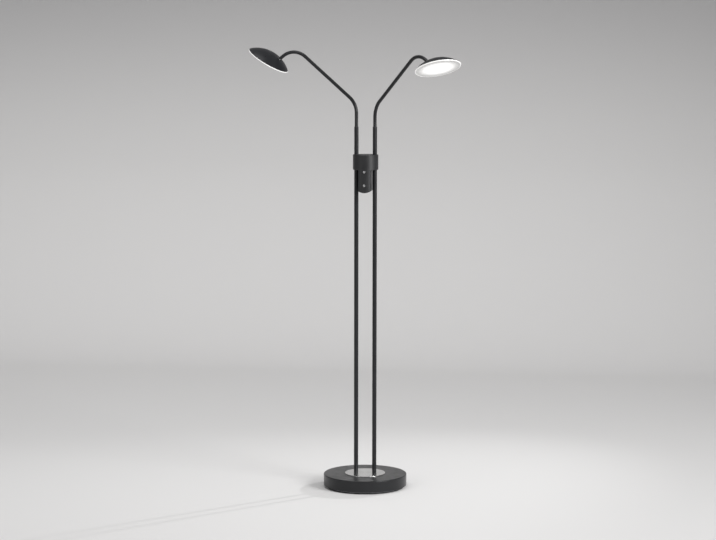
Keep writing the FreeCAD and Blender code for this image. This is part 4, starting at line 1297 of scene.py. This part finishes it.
@dataclass
class LampHead:
    """Dished shade with its lens, and the ball that it turns and tilts on."""

    side: Side
    radius: float = 75.0
    depth: float = 30.0
    wall: float = 1.2
    ball: float = 11.0
    ball_sink: float = 6.0
    ball_gap: float = 0.3
    lean: float = 17.0
    top_flat: float = 5.2
    bottom_flat: float = 6.85
    ball_bore: float = 4.08
    pin: float = 2.5
    pin_root: float = 7.0
    pin_reach: float = 14.0
    rim: float = 3.0
    plate: float = 2.0
    lip: float = 2.2
    lip_wall: float = 1.8
    lip_gap: float = 0.3
    bead: float = 3.6
    face_sink: float = 0.25
    groove: float = 1.0
    groove_slope: float = 0.25
    groove_depth: float = 0.6
    spreader_gap: float = 1.85
    board_margin: float = 3.0
    board_screw_margin: float = 6.0
    board_boss: Boss = Boss(radius=4.0, foot=5.5, pilot=1.42, pilot_foot=3.0, pilot_top=11.5)
    strap_boss: Boss = Boss(radius=3.5, foot=-8.5, pilot=1.22, pilot_foot=-9.5, pilot_top=-1.5)
    strap_screw_reach: float = 24.0
    arc_steps: int = 44
    ball_steps: int = 40
    tool_steps: int = 32
    pin_sides: int = 32
    sides: int = 192

    @property
    def sphere(self) -> float:
        """Radius of the shade's outer curve."""
        return (self.radius ** 2 + self.depth ** 2) / (2 * self.depth)

    @property
    def inner(self) -> float:
        """Radius of its inner curve."""
        return self.sphere - self.wall

    @property
    def centre(self) -> float:
        """Height of both curves' centre over the rim."""
        return self.depth - self.sphere

    def inner_reach(self, z: float) -> float:
        """Radius of the space inside the shade at a height over the rim."""
        return sqrt(self.inner ** 2 - (z - self.centre) ** 2)

    def ball_place(self) -> Matrix:
        """Frame of the ball: z along the neck, y along its pins."""
        turn, tilt = (joint(self.side.node(name)) for name in ("head_turn", "head_tilt"))
        up, across = Vector(turn["axis"]).normalized(), Vector(tilt["axis"]).normalized()
        axes = Matrix((across.cross(up), across, up)).transposed().to_4x4()
        return Matrix.Translation(Vector(turn["pos_m"]) / MM) @ axes

    def ball_in_head(self) -> Matrix:
        """Frame of the ball in a head that isn't tilted."""
        reach, lean = self.sphere - self.ball_sink, radians(self.lean)
        return shift(-reach * sin(lean), 0, self.centre + reach * cos(lean)) @ spin(-self.lean, "Y")

    def place(self) -> Matrix:
        """Frame of the head in its middle tilt: the rim in its plane z = 0, the shade above."""
        low, high = joint(self.side.node("head_tilt"))["range_deg"]
        return self.ball_place() @ spin(-(low + high) / 2, "Y") @ self.ball_in_head().inverted()

    def build(self, shop: Workshop) -> None:
        """Make the ball, the shade and the lens."""
        node, place = self.side.node, self.place()
        shop.piece(node("ball"), self.ball_form().placed(self.ball_place()), Slot.BALL, node("ball"),
                   node("swivel_ball"))
        shop.piece(node("shade"), self.shade().placed(place), Slot.DOME, node("head"), node("dome"))
        lit = replace(FINISHES[Slot.OPAL], head=place).material(node("lit_opal"), shop.effects)
        shop.piece(node("lens"), self.lens().placed(place), Slot.OPAL, node("head"), node("diffuser"),
                   material=lit)

    def ball_form(self) -> Form:
        """Bored ball with flats where it meets the neck and the clip, and two pins."""
        start, end = asin(self.top_flat / self.ball), pi - asin(self.bottom_flat / self.ball)
        outline = [(self.ball_bore, self.ball * cos(a), 0.25) for a in (end, start)]
        ball = Form.turned(outline + arc(self.ball, 0, start, end, self.ball_steps))
        root, tip = self.pin_root, self.pin_reach
        pin = Form.turned([(0, root, 0), (self.pin, root, 0), (self.pin, tip, 0.3), (0, tip, 0)],
                          self.pin_sides)
        pins = pin.placed(spin(-90, "X")).joined(pin.placed(spin(90, "X")))
        return ball.combined("UNION", pins)

    def shade(self) -> Form:
        """Pressed dish with a soft rim, bosses inside and the seat of the ball."""
        end, inner_r = asin(self.radius / self.sphere), self.inner_reach(0)
        outside = arc(self.sphere, self.centre, 0, end, self.arc_steps)
        inside = arc(self.inner, self.centre, asin(inner_r / self.inner), 0, self.arc_steps)
        shell = Form.turned([*outside[:-1], (self.radius, 0, 0.4), (inner_r, 0, 0.4), *inside[1:]],
                            self.sides)
        mid_wall = arc(self.sphere - self.wall / 2, self.centre, 0, end, self.tool_steps)
        fill = Form.turned([*mid_wall, (0, 0, 0)])
        posts, pilots = self.bosses()
        seat = Form.turned(arc(self.ball + self.ball_gap, 0, 0, pi, self.tool_steps), FINE)
        solid = shell.combined("UNION", posts.combined("INTERSECT", fill))
        return solid.cut(pilots, seat.placed(self.ball_in_head()))

    def bosses(self) -> tuple[Form, Form]:
        """The bosses for the board's and the strap's screws, and the tools for their holes."""
        reach = self.inner_reach(self.board_boss.foot)
        reach -= self.spreader_gap + self.board_margin + self.board_screw_margin
        turns = [2 * pi * k / 3 for k in range(3)]
        pairs = [self.board_boss.forms(shift(reach * cos(a), reach * sin(a))) for a in turns]
        pairs += [self.strap_boss.forms(self.ball_in_head() @ shift(y=self.strap_screw_reach * way))
                  for way in (-1, 1)]
        posts, holes = zip(*pairs)
        return posts[0].joined(*posts[1:]), holes[0].joined(*holes[1:])

    def lens(self) -> Form:
        """Opal disc with a raised rim bead, a fine groove and the lip that clips into the shade."""
        lip_r = self.inner_reach(self.lip) - self.lip_gap
        floor, face, bead = -self.rim + self.plate, -self.rim, self.radius - self.bead
        sunk, deep = face + self.face_sink, face + self.groove_depth
        return Form.turned([
            (0, floor, 0), (lip_r - self.lip_wall, floor, 0), (lip_r - self.lip_wall, self.lip, 0.3),
            (lip_r, self.lip, 0.3), (lip_r, 0, 0), (self.radius, 0, 0.3), (self.radius, face, 0.9),
            (bead, face, 0.35), (bead - self.groove_slope, deep, 0),
            (bead - self.groove + self.groove_slope, deep, 0), (bead - self.groove, sunk, 0.2),
            (0, sunk, 0)], self.sides)


# The studio

@dataclass(frozen=True)
class StudioLight:
    """A light with its power in watts, its place in metres and the point that it faces."""

    name: str
    at: Triple
    towards: Triple
    power: float
    # The kind of light, and whether glossy surfaces show it.
    KIND = "AREA"
    MIRRORED = True

    def fit(self, data: bpy.types.Light) -> None:
        """Set what only this kind of light has."""
        raise NotImplementedError

    def hang(self) -> None:
        """Put the light in its place, turned to the point that it faces."""
        data = bpy.data.lights.new(self.name, self.KIND)
        data.energy = self.power
        self.fit(data)
        light = put(self.name, data)
        light.location = self.at
        light.rotation_euler = (Vector(self.towards) - Vector(self.at)).to_track_quat("-Z", "Y").to_euler()
        light.visible_camera, light.visible_glossy = False, self.MIRRORED


@dataclass(frozen=True)
class SoftLight(StudioLight):
    """Rectangular soft light, with the width of its beam in degrees."""

    size: tuple[float, float]
    spread: float = 180.0

    def fit(self, data: bpy.types.Light) -> None:
        """Set its size and its beam."""
        data.shape, data.size, data.size_y = "RECTANGLE", *self.size
        data.spread = radians(self.spread)


@dataclass(frozen=True)
class LowSpot(StudioLight):
    """Low spot that throws the lamp's shadow across the floor, with the width of its cone in degrees."""

    cone: float = 46.0
    blend: float = 1.0
    radius: float = 0.05
    KIND = "SPOT"
    MIRRORED = False

    def fit(self, data: bpy.types.Light) -> None:
        """Set its cone and the size of its source."""
        data.spot_size, data.spot_blend, data.shadow_soft_size = radians(self.cone), self.blend, self.radius


LIGHTS = (
    SoftLight("overhead", at=(-0.8, -1.2, 7.0), towards=(0, 0, 0.5), power=168.0, size=(4.6, 4.6)),
    SoftLight("front_right", at=(4.2, -2.7, 2.7), towards=(0, 0, 0.95), power=52.0, size=(2.2, 2.4),
              spread=75.0),
    SoftLight("front_left", at=(-3.0, -3.6, 2.7), towards=(0, 0, 0.95), power=4.5, size=(1.3, 2.4),
              spread=75.0),
    LowSpot("low_spot", at=(2.3, 2.3, 1.55), towards=(-1.2, -1.2, 0.15), power=230.0),
)


@dataclass
class Studio:
    """Pale floor and backdrop, soft lights and the camera."""

    tone: Triple = (0.70, 0.695, 0.69)
    wall_tone: Triple = (0.36, 0.357, 0.36)
    wall_from: float = 0.7
    wall_to: float = 2.2
    backdrop_y: float = 3.3
    bend: float = 0.9
    bend_steps: int = 24
    reach: float = 14.0
    height: float = 6.0
    camera_at: Triple = (0.8037, -7.0544, 1.5412)
    camera_tilt: Triple = (83.542, -0.07, 6.709)
    lens: float = 107.07
    sensor: float = 36.0

    def build(self) -> None:
        """Set the stage."""
        self.add_floor()
        self.add_world()
        for light in LIGHTS:
            light.hang()
        self.add_camera()
        bpy.context.scene.view_settings.view_transform = "Standard"

    def add_floor(self) -> None:
        """Add the floor and the wall that rises behind it in one curve."""
        flat_end = self.backdrop_y - self.bend
        turns = [pi / 2 * k / self.bend_steps for k in range(1, self.bend_steps + 1)]
        line = [(-self.reach, 0.0), (0.0, 0.0), (flat_end, 0.0)]
        line += [(flat_end + self.bend * sin(a), self.bend * (1 - cos(a))) for a in turns]
        line.append((self.backdrop_y, self.height))
        mesh = bpy.data.meshes.new("stage_sweep")
        points = [(x, y, z) for y, z in line for x in (-self.reach, self.reach)]
        mesh.from_pydata(points, [], [(2 * k, 2 * k + 1, 2 * k + 3, 2 * k + 2) for k in range(len(line) - 1)])
        mesh.shade_smooth()
        mesh.materials.append(self.floor_material())
        put("stage_sweep", mesh)

    def floor_material(self) -> bpy.types.Material:
        """Matt pale paint, greyer up the wall, that is clear from behind."""
        material, tree, place = Finish.blank("stage_paint")
        height = tree.add("ShaderNodeSeparateXYZ", {0: place}).outputs["Z"]
        up_the_wall = tree.spread(height, self.wall_from, self.wall_to, curve="SMOOTHSTEP")
        colour = tree.mixed(up_the_wall, (*self.tone, 1.0), (*self.wall_tone, 1.0))
        surface = tree.made("ShaderNodeBsdfPrincipled", {"Base Color": colour, "Roughness": 0.85,
                                                         "Specular IOR Level": 0.15})
        clear = tree.made("ShaderNodeBsdfTransparent")
        behind = tree.add("ShaderNodeNewGeometry").outputs["Backfacing"]
        both = tree.made("ShaderNodeMixShader", {0: behind, 1: surface, 2: clear})
        tree.add("ShaderNodeOutputMaterial", {0: both})
        return material

    def add_world(self) -> None:
        """Add soft light from all round, in the colour of the wall."""
        world = bpy.data.worlds.new("studio")
        world.use_nodes = True
        world.node_tree.nodes.clear()
        tree = ShaderTree(world.node_tree)
        light = tree.made("ShaderNodeBackground", {"Color": (*self.wall_tone, 1.0), "Strength": 1.0})
        tree.add("ShaderNodeOutputWorld", {0: light})
        bpy.context.scene.world = world

    def add_camera(self) -> None:
        """Add the camera where the photograph was taken from."""
        data = bpy.data.cameras.new("camera")
        data.lens, data.sensor_width = self.lens, self.sensor
        camera = put("camera", data)
        camera.location = self.camera_at
        camera.rotation_euler = [radians(angle) for angle in self.camera_tilt]
        bpy.context.scene.camera = camera


def main() -> None:
    """Build the lamp and its studio."""
    logging.basicConfig(level=logging.INFO, format="%(message)s")
    shop = Workshop()
    parts = [Base(), *(Pole(side) for side in Side), ControlUnit(), *(Arm(side) for side in Side),
             *(LampHead(side) for side in Side)]
    for part in parts:
        part.build(shop)
    shop.dress_hidden_works()
    Studio().build()


if __name__ == "__main__":
    main()
